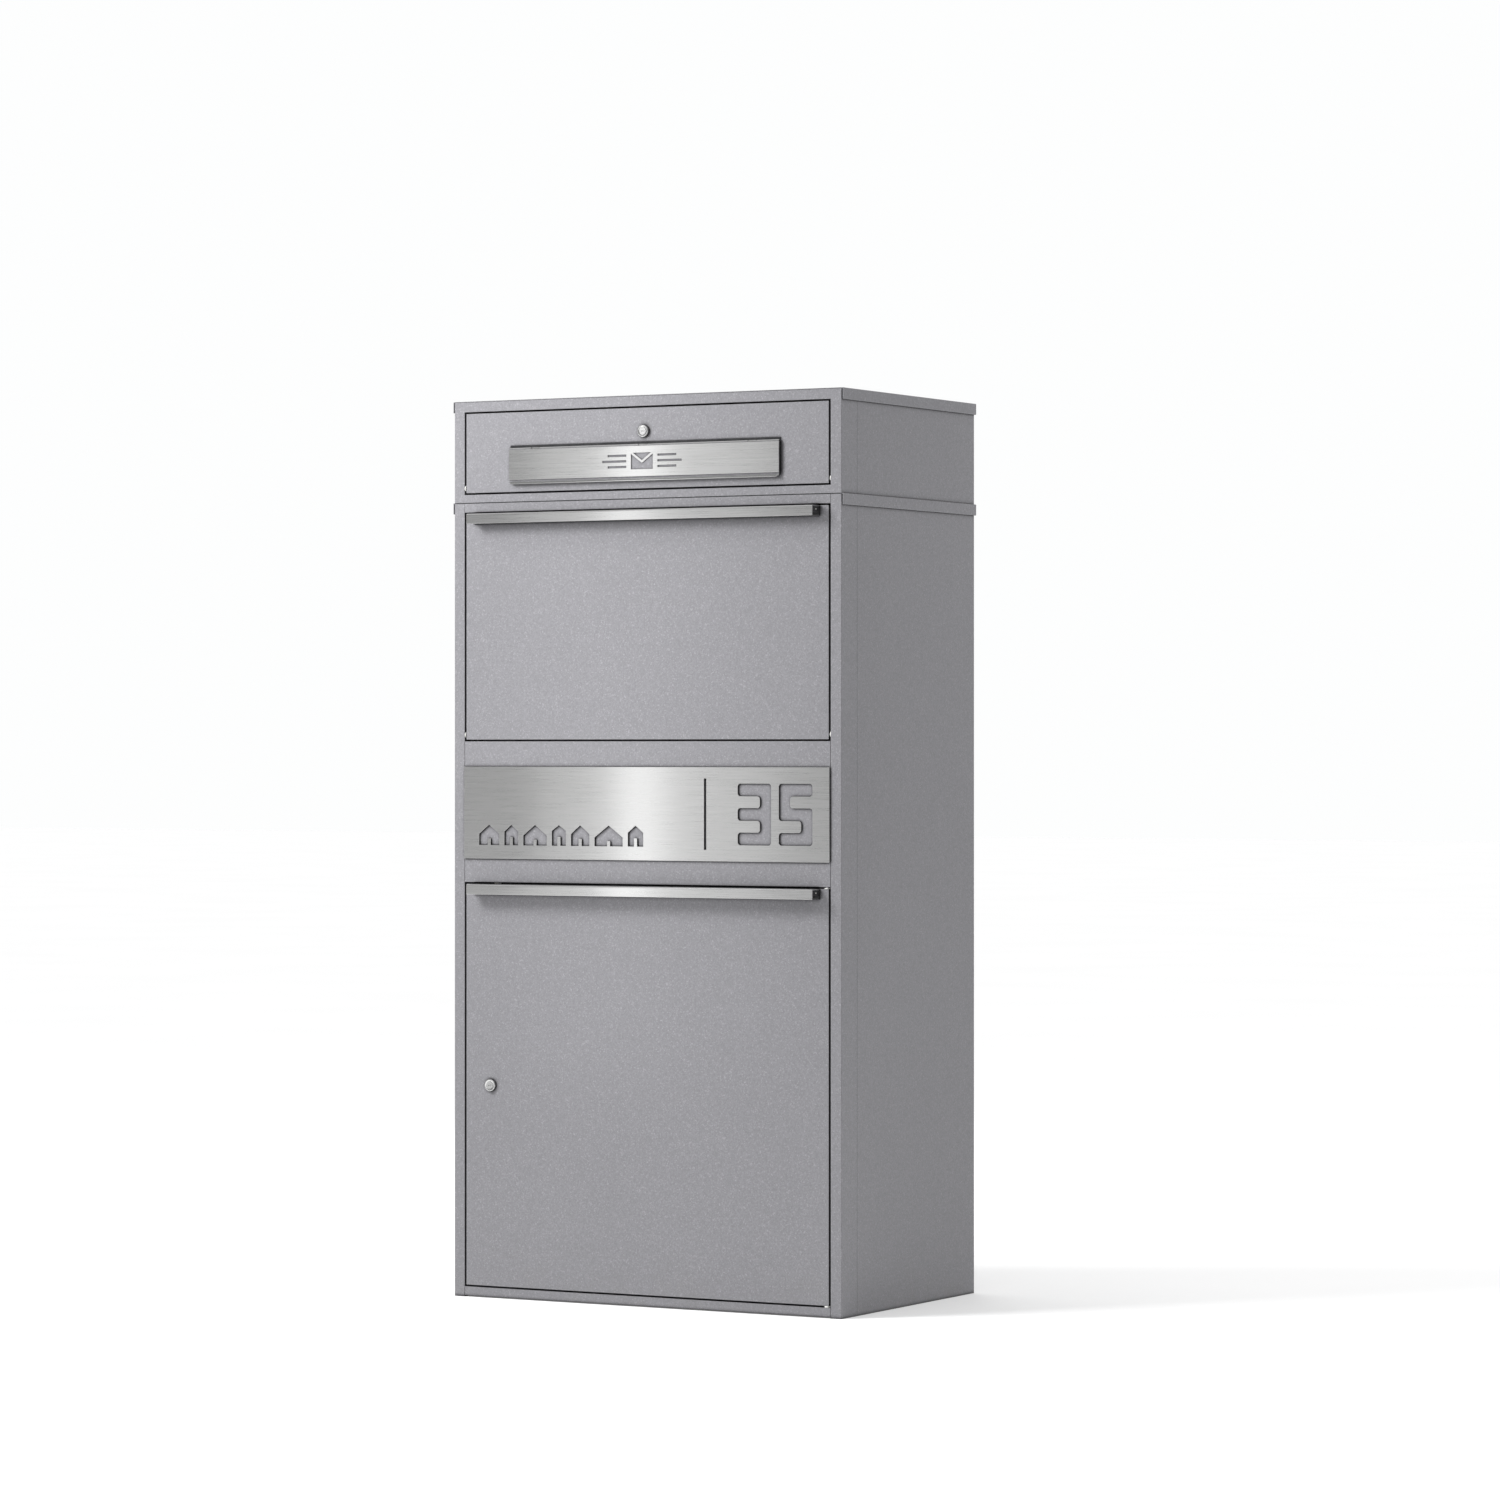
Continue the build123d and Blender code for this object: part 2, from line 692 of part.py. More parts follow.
def letter_door():
    pan = side_pin_holes(door_pan(letter_low, letter_top, letter_pan_depth), letter_axis)
    half = flap_width / 2 - slot_cover
    slot = block((-half, half), (front - 1, skin_back + 1), (slot_edge, slot_top))
    slot = fillet(slot.edges().filter_by(Axis.Y), slot_round)
    return pan - slot - rod("Y", 0.0, letter_lock_z, lock_barrel_radius, front - 1, skin_back + 1)


def hopper_cheek():
    """Right-hand side sheet of the hopper; its arc stays on one radius about the pivot."""
    radius = drop_top - drop_axis - cheek_clearance
    low = drop_low + door_sheet + case_sheet
    tip_y = tray_y + tray_length * cos(radians(tray_slope))
    tip_z = low - tray_length * sin(radians(tray_slope))
    start = sqrt(radius ** 2 - (skin_back - pivot_y) ** 2)
    ends = []
    for angle in (cheek_angle / 2, cheek_angle):
        turn = radians(angle)
        ends.append((cheek_inner, pivot_y + radius * sin(turn), drop_axis + radius * cos(turn)))
    first = (cheek_inner, skin_back, drop_axis + start)
    arc = ThreePointArc(first, ends[0], ends[1])
    rest = Polyline(ends[1], (cheek_inner, tip_y, tip_z), (cheek_inner, tray_y, low),
                    (cheek_inner, skin_back, low), first)
    return extrude(make_face(Curve() + [arc, rest]), amount=cheek_sheet, dir=(1, 0, 0))


def tray_shift():
    """Half the difference between the folds of the tray's two faces."""
    return case_sheet * (1 / cos(radians(tray_slope)) - 1) / 2


def tray_sweep():
    """Distance from the drop door's axis to the tray's free edge."""
    reach = tray_length * cos(radians(tray_slope))
    along = tray_y + reach - pivot_y
    down = drop_axis - drop_low - door_sheet + reach
    return sqrt(along ** 2 + down ** 2)


def hopper_tray():
    """Sheet that carries the parcel while the door is open and tips it off when it closes."""
    low = drop_low + door_sheet
    run = tray_length * cos(radians(tray_slope))
    fall = tray_length * sin(radians(tray_slope))
    shift = tray_shift()
    side = case_sheet * sin(radians(tray_slope))
    points = [(skin_back + tray_setback, low), (tray_y - shift, low), (tray_y - shift + run, low - fall),
              (tray_y - shift + run + side, low - fall + side), (tray_y + shift, low + case_sheet),
              (skin_back + tray_setback, low + case_sheet)]
    return outline(points, (-tray_half, tray_half))


def tray_counterweight():
    """Steel bar under the free edge of the tray that swings the hopper shut."""
    low = drop_low + door_sheet
    turn = radians(tray_slope)
    far = tray_length - weight_inset
    points = []
    for along, below in ((far - weight_width, 0.0), (far, 0.0), (far, weight_thick),
                         (far - weight_width, weight_thick)):
        y = tray_y - tray_shift() + along * cos(turn) - below * sin(turn)
        z = low - along * sin(turn) - below * cos(turn)
        points.append((y, z))
    half = tray_half - flange
    return outline(points, (-half, half))


# ---- locks ----

def lock_ring(x, z):
    ring = rod("Y", x, z, ring_radius, front - ring_thick, front)
    ring = fillet(ring.faces().sort_by(Axis.Y)[0].edges(), ring_round)
    return ring - rod("Y", x, z, lock_barrel_radius, front - ring_thick - 1, front + 1)


def lock_body(x, z):
    """Lock barrel with a polished head, bored for the plug."""
    ring_face = front - ring_thick
    head_face = ring_face - lock_head
    head = rod("Y", x, z, lock_head_radius, head_face, ring_face)
    head = fillet(head.faces().sort_by(Axis.Y)[0].edges(), lock_head_round)
    body = head + rod("Y", x, z, lock_barrel_radius, ring_face - 1, front + lock_rear)
    return body - rod("Y", x, z, plug_radius + pin_play, head_face - 1, front + lock_rear + 1)


def lock_plug(x, z):
    face = front - ring_thick - lock_head + plug_recess
    plug = rod("Y", x, z, plug_radius, face, front + plug_rear)
    half = key_width / 2
    key = block((x - half, x + half), (face - 1, face + key_depth), (z - key_height / 2, z + key_height / 2))
    return plug - key


def lock_nut(x, z):
    nut = hexagon("Y", x, z, nut_radius, skin_back, skin_back + nut_thick)
    return nut - rod("Y", x, z, lock_barrel_radius, front - 1, front + 30)


def lock_cam():
    """Cam of the letterbox lock, lying sideways while the lock is open."""
    y = (cam_front, cam_back)
    tip = cam_length - cam_width / 2
    cam = rod("Y", 0.0, letter_lock_z, cam_width / 2 + cam_hub_lip, *y)
    cam += block((0.0, tip), y, (letter_lock_z - cam_width / 2, letter_lock_z + cam_width / 2))
    cam += rod("Y", tip, letter_lock_z, cam_width / 2, *y)
    return cam + hexagon("Y", 0.0, letter_lock_z, cam_nut_radius, cam_back, cam_back + cam_nut_thick)


def lock_crank():
    """Disc behind the removal door's lock with one pin for each rod."""
    x, z = lower_lock_x, lower_lock_z
    disc = rod("Y", x, z, crank_radius, cam_front, cam_back)
    end = rod_back + crank_pin_end
    for side in (-crank_pin_offset, crank_pin_offset):
        disc += rod("Y", x + side, z - side, crank_pin_radius, cam_back - 1, end)
    return disc + hexagon("Y", x, z, crank_nut_radius, cam_back, cam_back + crank_nut_thick)


def lock_rod(end):
    """Flat rod from the crank to just past the door's edge, drawn for the upper side."""
    y = (rod_front, rod_back)
    x, z = lower_lock_x, lower_lock_z
    half = rod_width / 2
    bar = block((x - half, x + half), y, (z + rod_start, end))
    shoulder = z + rod_start + rod_shoulder
    inner = crank_pin_offset - crank_pin_radius - tongue_wall
    tongue = block((x + inner, x + inner + tongue_width), y, (z - tongue_reach, shoulder))
    wide = block((x - half, x + inner + tongue_width), y, (z + rod_start, shoulder))
    gap = crank_pin_offset - crank_pin_radius - slot_play
    far = crank_pin_offset * sqrt(2.0) + crank_pin_radius + slot_play
    slot = block((x + gap, x + far), (rod_front - 1, rod_back + 1),
                 (z - crank_pin_offset - slot_half, z - crank_pin_offset + slot_half))
    return bar + tongue + wide - slot


def turned(solid):
    """The same solid turned half a turn about the lock axis."""
    back_home = Pos(lower_lock_x, 0, lower_lock_z)
    return back_home * Rot(0, 180, 0) * Pos(-lower_lock_x, 0, -lower_lock_z) * solid


def rod_guides():
    """Plastic guides on the door skin that the rods slide through."""
    guides = []
    for offset in guide_places:
        x = (lower_lock_x - guide_width / 2, lower_lock_x + guide_width / 2)
        z = (lower_lock_z + offset - guide_height / 2, lower_lock_z + offset + guide_height / 2)
        guide = block(x, (skin_back, rod_back + guide_wall), z)
        guides.append(guide - rod_slot(z[0], z[1]))
    return group(guides)


# ---- letter flap ----

def lug_windows(extra):
    """Stretches of the flap's top edge that the hinge lugs take up."""
    half = lug_length / 2 + extra
    outer = flap_width / 2 - lug_inset
    return [(place - half, place + half) for place in (-outer, 0.0, outer)]


def hinge_strip():
    """Black strip along the top of the flap, with lugs that hold the hinge rod."""
    half = flap_width / 2
    low = flap_axis_z + knuckle_radius + strip_gap
    strip = block((-half, half), (front - strip_thick, front), (low, low + strip_height))
    for x in lug_windows(0.0):
        strip += rod("X", flap_axis_y, flap_axis_z, lug_radius, *x)
        strip += block(x, (flap_axis_y - lug_web, front), (flap_axis_z, low + 1))
        strip += block(x, (flap_axis_y, front), (flap_axis_z - lug_radius, flap_axis_z + 1))
    return strip - rod("X", flap_axis_y, flap_axis_z, rod_radius + pin_play, -half, half)


def flap_rod():
    half = flap_width / 2 - cap_sheet - rod_setback
    return rod("X", flap_axis_y, flap_axis_z, rod_radius, -half, half)


def letter_flap():
    """Flap sheet with a knuckle along its top and a finger lip along its bottom."""
    half = flap_width / 2 - flap_end_gap
    rear = flap_face + flap_sheet
    bend_z = flap_low + flap_sheet + lip_radius
    centre = flap_face - lip_radius
    sheet = block((-half, half), (flap_face, rear), (bend_z, flap_axis_z))
    lip = rod("X", centre, bend_z, lip_radius + flap_sheet, -half, half)
    lip -= rod("X", centre, bend_z, lip_radius, -half - 1, half + 1)
    quarter = block((-half, half), (centre, rear), (flap_low, bend_z))
    lip = lip & quarter
    tip = block((-half, half), (centre - lip_end, centre), (flap_low, flap_low + flap_sheet))
    knuckle = rod("X", flap_axis_y, flap_axis_z, knuckle_radius, -half, half)
    flap = sheet + lip + tip + knuckle
    corner = block((-half, half), (centre - 20, front), (flap_low, flap_axis_z + 20))
    lower_corners = edges_at(corner, Axis.Y, z=flap_low)
    flap = flap & fillet(lower_corners, flap_corner)
    for x in lug_windows(lug_gap):
        flap -= block(x, (flap_face - 1, front), (flap_axis_z - 4, flap_axis_z + 4))
    return flap - rod("X", flap_axis_y, flap_axis_z, rod_radius, -half - 1, half + 1)


def flap_caps():
    """Black end pieces that close the flap's sides."""
    outer = flap_width / 2 - flap_end_gap
    y = (flap_face + flap_sheet, front - cap_gap)
    z = (flap_low + flap_corner, flap_axis_z - cap_drop)
    cap = block((outer - cap_sheet, outer), y, z)
    return group([cap, mirrored(cap)])


def envelope(x, z, y, scale):
    """Cutter for an envelope picture: a rectangle crossed by the fold of its flap."""
    wide, high, bar = scale * envelope_width / 2, scale * envelope_height / 2, scale * envelope_bar
    body = block((x - wide, x + wide), y, (z - high, z + high))
    fold = z - scale * envelope_fold
    left = [(x - wide - 1, z + high + 1 - bar), (x - wide - 1, z + high + 1 + bar),
            (x, fold + bar), (x, fold - bar)]
    right = [(2 * x - px, pz) for px, pz in left]
    return body - silhouette(left, y) - silhouette(right, y)


def name_plate():
    """Stainless plate on the flap, cut through with an envelope picture."""
    half = flap_width / 2
    y = (flap_face - name_plate_sheet, flap_face)
    plate = block((-half, half), y, (name_plate_low, name_plate_top))
    plate = fillet(edges_at(plate, Axis.X, y=y[0], z=name_plate_top), name_plate_round)
    middle = (name_plate_low + name_plate_top) / 2
    scale = (name_plate_top - name_plate_low) / picture_height
    cut = (y[0] - 1, y[1] + 1)
    plate -= envelope(0.0, middle, cut, scale)
    start = scale * (envelope_width / 2 + dash_start)
    for side in (-1, 1):
        for row in (-1, 0, 1):
            stop = start + scale * dash_length * (1.0 - dash_taper * abs(row))
            z = [middle + scale * (row * dash_pitch + edge * dash_height / 2) for edge in (-1, 1)]
            plate -= block(sorted((side * start, side * stop)), cut, z)
    return plate


# ---- house-number plate ----

def digit(x, low, bars):
    """Cutter for one squared digit; bars name the strokes it has."""
    y = (plate_front - 1, plate_front + plate_sheet + 1)
    right = x + digit_width
    top = low + digit_height
    middle = (low + top) / 2
    half = digit_stroke / 2
    strokes = {
        "top": ((x, right), (top - digit_stroke, top)),
        "middle": ((x, right), (middle - half, middle + half)),
        "bottom": ((x, right), (low, low + digit_stroke)),
        "upper_left": ((x, x + digit_stroke), (middle - half, top)),
        "upper_right": ((right - digit_stroke, right), (middle - half, top)),
        "lower_right": ((right - digit_stroke, right), (low, middle + half)),
    }
    shape = None
    for bar in bars:
        across, upright = strokes[bar]
        piece = block(across, y, upright)
        shape = piece if shape is None else shape + piece
    return fillet(shape.edges().filter_by(Axis.Y), digit_round)


def house(x, low, width, eaves):
    """Cutter for one small house front with a gable roof."""
    y = (plate_front - 1, plate_front + plate_sheet + 1)
    points = [(x, low), (x + width, low), (x + width, low + eaves),
              (x + width / 2, low + motif_height), (x, low + eaves)]
    middle, half = x + width / 2, house_door / 2
    door = block((middle - half, middle + half), y, (low - 1, low + eaves * house_door_share))
    return silhouette(points, y) - door


def number_plate():
    """Stainless plate cut through with a house number, a dividing slot and a row of houses."""
    half = number_plate_half
    y = (plate_front, plate_front + plate_sheet)
    plate = block((-half, half), y, (plate_low, plate_top))
    plate = fillet(face_edges(plate, plate_front), number_plate_round)
    cut = (y[0] - 1, y[1] + 1)
    slot_x = (number_slot_x - number_slot_width / 2, number_slot_x + number_slot_width / 2)
    plate -= block(slot_x, cut, (plate_low + number_slot_margin, plate_top - number_slot_margin))
    digits_low = (plate_low + plate_top - digit_height) / 2
    second = half - digit_margin - digit_width
    first = second - digit_gap - digit_width
    plate -= digit(first, digits_low, ("top", "middle", "bottom", "upper_right", "lower_right"))
    plate -= digit(second, digits_low, ("top", "middle", "bottom", "upper_left", "lower_right"))
    x = -half + motif_margin
    room = number_slot_x - motif_clear - x - motif_gap * (len(house_shares) - 1)
    for share, eaves in zip(house_shares, house_eaves):
        width = room * share / sum(house_shares)
        plate -= house(x, plate_low + motif_rise, width, eaves)
        x += width + motif_gap
    return plate


def number_plate_pads():
    """Mounting pads that hold the plate off the middle panel."""
    y = (front - pad_thick, front)
    pads = []
    end = number_plate_half - pad_inset
    for x in (-end, -pad_length / 2, end - pad_length):
        for z in (plate_low + pad_margin, plate_top - pad_margin - pad_height):
            pads.append(block((x, x + pad_length), y, (z, z + pad_height)))
    return group(pads)


# ---- small parts of the case ----

def pivot_bushes():
    bushes = []
    for axis_z in (drop_axis, letter_axis):
        bush = side_bush(axis_z)
        bushes += [bush, mirrored(bush)]
    return group(bushes)


def door_buffers():
    """Rubber buttons on the door stops, one near each free corner of a door."""
    x = opening_half - stop_width / 2 - buffer_shift
    near = letter_buffer_margin
    spots = []
    for low, high, depth in ((drop_low + buffer_margin, drop_top - drop_buffer_margin, pan_depth),
                             (lower_door_low + buffer_margin, lower_door_top - buffer_margin, pan_depth),
                             (letter_low + near, letter_top - near, letter_pan_depth)):
        for z in (low, high):
            spots += [(-x, z, depth)]
            if low > panel_top:
                spots += [(x, z, depth)]
    return group(rod("Y", bx, bz, buffer_radius, front + depth + buffer_gap, stop_front)
                 for bx, bz, depth in spots)


def joining_bolts():
    """Hexagon bolts that tie the letterbox floor to the parcel lid."""
    bolts = []
    for x, y in bolt_spots():
        floor_top = parcel_height + case_sheet
        shank = rod("Z", x, y, bolt_radius, parcel_top - bolt_reach, floor_top)
        bolts.append(shank + hexagon("Z", x, y, bolt_head_radius, floor_top, floor_top + bolt_head))
    return group(bolts)


def joining_nuts():
    nuts = []
    for x, y in bolt_spots():
        nut = hexagon("Z", x, y, bolt_head_radius, parcel_top - bolt_nut, parcel_top)
        nuts.append(nut - rod("Z", x, y, bolt_radius, parcel_top - 20, parcel_top + 1))
    return group(nuts)


post = stile()
parcel_side = side_panel(0.0, parcel_top, base_sheet + flange)
letter_side = side_panel(parcel_height, letterbox_top, parcel_height + case_sheet)
cheek = hopper_cheek()

nodes = {
    "stile_right": post,
    "stile_left": mirrored(post),
    "parcel_side_right": parcel_side,
    "parcel_side_left": mirrored(parcel_side),
    "parcel_back": parcel_back(),
    "base_plate": base_plate(),
    "bottom_rail": bottom_rail(),
    "parcel_top_rail": parcel_top_rail(),
    "middle_panel": middle_panel(),
    "parcel_lid": with_bolt_holes(lid(parcel_height), parcel_top, parcel_height),
    "theft_guard": theft_guard(),
    "letterbox_front": letterbox_front(),
    "letterbox_side_right": letter_side,
    "letterbox_side_left": mirrored(letter_side),
    "letterbox_back": back_panel(parcel_height, letterbox_top),
    "letterbox_floor": with_bolt_holes(letterbox_floor(), parcel_height, parcel_height + case_sheet),
    "letterbox_lid": lid(overall_height),
    "number_plate": number_plate(),
    "number_plate_pads": number_plate_pads(),
    "pivot_bushes": pivot_bushes(),
    "door_buffers": door_buffers(),
    "lower_door_pins": lower_pins(),
    "joining_bolts": joining_bolts(),
    "joining_nuts": joining_nuts(),
    "drop_door": drop_door(),
    "drop_door_pins": side_pins(drop_axis),
    "drop_handle_bar": handle_bar(drop_top),
    "drop_handle_core": handle_core(drop_top),
    "drop_handle_screws": handle_screws(drop_top),
    "hopper_tray": hopper_tray(),
    "hopper_cheek_right": cheek,
    "hopper_cheek_left": mirrored(cheek),
    "tray_counterweight": tray_counterweight(),
    "lower_door": lower_door(),
    "lower_door_bushes": lower_bushes(),
    "lower_handle_bar": handle_bar(lower_door_top),
    "lower_handle_core": handle_core(lower_door_top),
    "lower_handle_screws": handle_screws(lower_door_top),
    "lower_lock_ring": lock_ring(lower_lock_x, lower_lock_z),
    "lower_lock_body": lock_body(lower_lock_x, lower_lock_z),
    "lower_lock_nut": lock_nut(lower_lock_x, lower_lock_z),
    "lower_lock_plug": lock_plug(lower_lock_x, lower_lock_z),
    "lock_crank": lock_crank(),
    "upper_lock_rod": lock_rod(lower_door_top + rod_tip),
    "lower_lock_rod": turned(lock_rod(lower_door_top + rod_tip)),
    "rod_guides": rod_guides(),
    "letter_door": letter_door(),
    "letter_door_pins": side_pins(letter_axis),
    "letter_lock_ring": lock_ring(0.0, letter_lock_z),
    "letter_lock_body": lock_body(0.0, letter_lock_z),
    "letter_lock_nut": lock_nut(0.0, letter_lock_z),
    "letter_lock_plug": lock_plug(0.0, letter_lock_z),
    "letter_lock_cam": lock_cam(),
    "flap_hinge_strip": hinge_strip(),
    "flap_hinge_rod": flap_rod(),
    "letter_flap": letter_flap(),
    "name_plate": name_plate(),
    "flap_end_caps": flap_caps(),
}

os.makedirs("parts", exist_ok=True)
for name, shape in nodes.items():
    export_step(shape, f"parts/{name}.step")
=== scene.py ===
import json
import math

import bpy
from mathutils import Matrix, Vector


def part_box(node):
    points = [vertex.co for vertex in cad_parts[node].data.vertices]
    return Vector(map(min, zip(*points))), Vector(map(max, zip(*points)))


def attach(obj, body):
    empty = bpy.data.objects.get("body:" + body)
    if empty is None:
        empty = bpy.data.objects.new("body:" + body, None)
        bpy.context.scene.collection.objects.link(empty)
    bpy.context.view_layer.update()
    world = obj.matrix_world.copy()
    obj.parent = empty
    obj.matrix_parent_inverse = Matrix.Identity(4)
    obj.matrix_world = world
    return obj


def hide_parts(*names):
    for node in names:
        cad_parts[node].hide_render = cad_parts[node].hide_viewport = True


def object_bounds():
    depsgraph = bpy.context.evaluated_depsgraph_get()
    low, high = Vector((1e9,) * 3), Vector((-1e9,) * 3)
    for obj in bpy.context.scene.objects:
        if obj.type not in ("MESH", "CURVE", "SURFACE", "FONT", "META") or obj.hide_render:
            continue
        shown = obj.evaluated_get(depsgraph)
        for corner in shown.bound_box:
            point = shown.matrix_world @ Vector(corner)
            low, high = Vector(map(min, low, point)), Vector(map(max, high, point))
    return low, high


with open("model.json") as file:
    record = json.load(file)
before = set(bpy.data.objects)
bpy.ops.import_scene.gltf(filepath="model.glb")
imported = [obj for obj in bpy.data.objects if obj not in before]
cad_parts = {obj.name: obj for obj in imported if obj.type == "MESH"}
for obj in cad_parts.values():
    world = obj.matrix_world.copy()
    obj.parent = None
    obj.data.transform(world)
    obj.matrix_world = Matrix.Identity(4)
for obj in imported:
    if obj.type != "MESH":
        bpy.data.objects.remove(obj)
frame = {"nodes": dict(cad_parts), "record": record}
cadLow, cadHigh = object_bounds()
nodes = frame["nodes"]
slotOf = {part["node"]: part["material_slot"] for part in frame["record"]["subparts"]}
mm = 0.001
print("frame loaded:", len(nodes), "nodes")


# Camera and stage

cameraSetup = {
    "lens": 125.98,
    "sensor": 36.0,
    "place": (4.2545, -7.3988, 0.8857),
    "turn": 29.526,              # degrees, level view from the front right
    "shift": (0.00033, -0.00033),
    "clip": (0.1, 60.0),
}


def placeCamera(setup):
    bpy.ops.object.camera_add(location=setup["place"])
    camera = bpy.context.object
    camera.name = "studioCamera"
    camera.rotation_euler = (math.radians(90), 0, math.radians(setup["turn"]))
    camera.data.lens = setup["lens"]
    camera.data.sensor_width = setup["sensor"]
    camera.data.shift_x, camera.data.shift_y = setup["shift"]
    camera.data.clip_start, camera.data.clip_end = setup["clip"]
    bpy.context.scene.camera = camera


lightSetup = {
    # name: place, aim, size across and up, power in watts, seen in glossy metal
    "keyLeft": ((-0.98, -1.55, 2.0), (0.0, -0.2, 1.15), (0.7, 0.7), 60.0, False),
    "bandNarrow": ((-0.29, -0.70, 0.95), (-0.01, -0.23, 0.95), (0.07, 1.3), 0.42, True),
    "bandWide": ((-0.26, -0.71, 0.95), (0.02, -0.23, 0.95), (0.40, 1.3), 0.66, True),
    "sideFill": ((1.6, 1.1, 1.9), (0.36, 0.1, 1.15), (0.7, 1.0), 10.0, False),
    "backFill": ((-1.8, 3.0, 2.2), (0.0, 0.2, 0.8), (1.4, 1.4), 22.0, False),
}
sunSetup = {"turn": (-0.60, -0.45, 0.66), "strength": 1.0, "softness": 12.0}
worldSetup = {
    "behind": (0.985, 0.99, 0.99),
    "before": (0.30, 0.30, 0.304),
    "above": (1.20, 1.20, 1.20),
    "toward": (0.62, -0.78, 0.0),        # the dimmer part of the room
    "share": (-0.85, 0.0),
    "rise": (0.30, 0.80),                # where the bright ceiling starts
    "strength": 1.0,
}
floorSetup = {"half": 40.0, "drop": 0.0002, "colour": (0.70, 0.70, 0.70), "glow": 0.155}


def aimAt(place, target):
    away = [a - b for a, b in zip(target, place)]
    flat = math.hypot(away[0], away[1])
    return (math.pi / 2 + math.atan2(away[2], flat), 0.0, math.atan2(away[1], away[0]) - math.pi / 2)


def placeLights(setup):
    for name, (place, target, size, power, glossy) in setup.items():
        bpy.ops.object.light_add(type="AREA", location=place)
        light = bpy.context.object
        light.name = name
        light.rotation_euler = aimAt(place, target)
        light.data.shape = "RECTANGLE"
        light.data.size, light.data.size_y = size
        light.data.energy = power
        light.visible_glossy = glossy
        light.visible_camera = False


def placeSun(setup):
    away = setup["turn"]
    bpy.ops.object.light_add(type="SUN", location=[3.0 * part for part in away])
    sun = bpy.context.object
    sun.name = "roomLight"
    sun.rotation_euler = aimAt(sun.location, (0, 0, 0))
    sun.data.energy = setup["strength"]
    sun.data.angle = math.radians(setup["softness"])
    sun.visible_glossy = False


def makeWorld(setup):
    # white behind the object, greyer in front of it, where the metal looks
    world = bpy.data.worlds.new("studioAir")
    bpy.context.scene.world = world
    world.use_nodes = True
    tree = world.node_tree
    air = tree.nodes["Background"]
    air.inputs["Strength"].default_value = setup["strength"]
    way = add(tree, "TexCoord")
    share = add(tree, "VectorMath", operation="DOT_PRODUCT")
    tree.links.new(way.outputs["Generated"], share.inputs[0])
    share.inputs[1].default_value = setup["toward"]
    share = ramp(tree, share.outputs["Value"], 1.0, 0.0, *setup["share"])
    colour = blendColours(tree, share, setup["before"], setup["behind"])
    apart = add(tree, "SeparateXYZ")
    tree.links.new(way.outputs["Generated"], apart.inputs["Vector"])
    rise = ramp(tree, apart.outputs["Z"], 0.0, 1.0, *setup["rise"])
    tree.links.new(blendColours(tree, rise, colour, setup["above"]), air.inputs["Color"])


# Node helpers

def add(tree, kind, sockets=None, **settings):
    made = tree.nodes.new("ShaderNode" + kind)
    for key, value in settings.items():
        setattr(made, key, value)
    for key, value in (sockets or {}).items():
        made.inputs[key].default_value = value
    return made


def startMaterial(name, **sockets):
    material = bpy.data.materials.new(name)
    material.use_nodes = True
    tree = material.node_tree
    shader = tree.nodes["Principled BSDF"]
    for key, value in sockets.items():
        shader.inputs[key.replace("_", " ")].default_value = value
    return material, tree, shader


def objectPoint(tree, move=(0, 0, 0), scale=(1, 1, 1)):
    # the point on the piece in metres, moved and stretched before a texture reads it
    point = add(tree, "TexCoord")
    mapping = add(tree, "Mapping", {"Location": move, "Scale": scale})
    tree.links.new(point.outputs["Object"], mapping.inputs["Vector"])
    return mapping.outputs["Vector"]


def noise(tree, vector, scale, detail=2.0, roughness=0.5):
    made = add(tree, "TexNoise", {"Scale": scale, "Detail": detail, "Roughness": roughness})
    tree.links.new(vector, made.inputs["Vector"])
    return made.outputs["Fac"]


def cells(tree, vector, scale):
    # random red, green and blue for each cell
    made = add(tree, "TexVoronoi", {"Scale": scale})
    tree.links.new(vector, made.inputs["Vector"])
    apart = add(tree, "SeparateColor")
    tree.links.new(made.outputs["Color"], apart.inputs["Color"])
    return apart.outputs


def ramp(tree, value, low, high, fromLow=0.0, fromHigh=1.0):
    made = add(tree, "MapRange", {"From Min": fromLow, "From Max": fromHigh,
                                  "To Min": low, "To Max": high})
    tree.links.new(value, made.inputs["Value"])
    return made.outputs["Result"]


def maths(tree, operation, first, second=None):
    made = add(tree, "Math", operation=operation)
    for socket, value in zip(made.inputs, (first, second)):
        if value is None:
            continue
        if isinstance(value, (int, float)):
            socket.default_value = value
        else:
            tree.links.new(value, socket)
    return made.outputs["Value"]


def blendColours(tree, factor, first, second, kind="MIX"):
    made = add(tree, "Mix", data_type="RGBA", blend_type=kind)
    for name, value in (("Factor", factor), ("A", first), ("B", second)):
        kindOf = "VALUE" if name == "Factor" else "RGBA"
        socket = [s for s in made.inputs if s.name == name and s.type == kindOf][0]
        if isinstance(value, (int, float)):
            socket.default_value = value
        elif isinstance(value, tuple):
            socket.default_value = (*value, 1.0)
        else:
            tree.links.new(value, socket)
    return [s for s in made.outputs if s.type == "RGBA"][0]


def edgeMask(tree, radius, low, high):
    # how much a rounded normal turns away from the true one, which is most along an edge
    rounded = add(tree, "Bevel", {"Radius": radius}, samples=4)
    geometry = add(tree, "NewGeometry")
    dot = add(tree, "VectorMath", operation="DOT_PRODUCT")
    tree.links.new(rounded.outputs["Normal"], dot.inputs[0])
    tree.links.new(geometry.outputs["Normal"], dot.inputs[1])
    turned = maths(tree, "SUBTRACT", 1.0, dot.outputs["Value"])
    return ramp(tree, turned, 0.0, 1.0, low, high), rounded.outputs["Normal"]


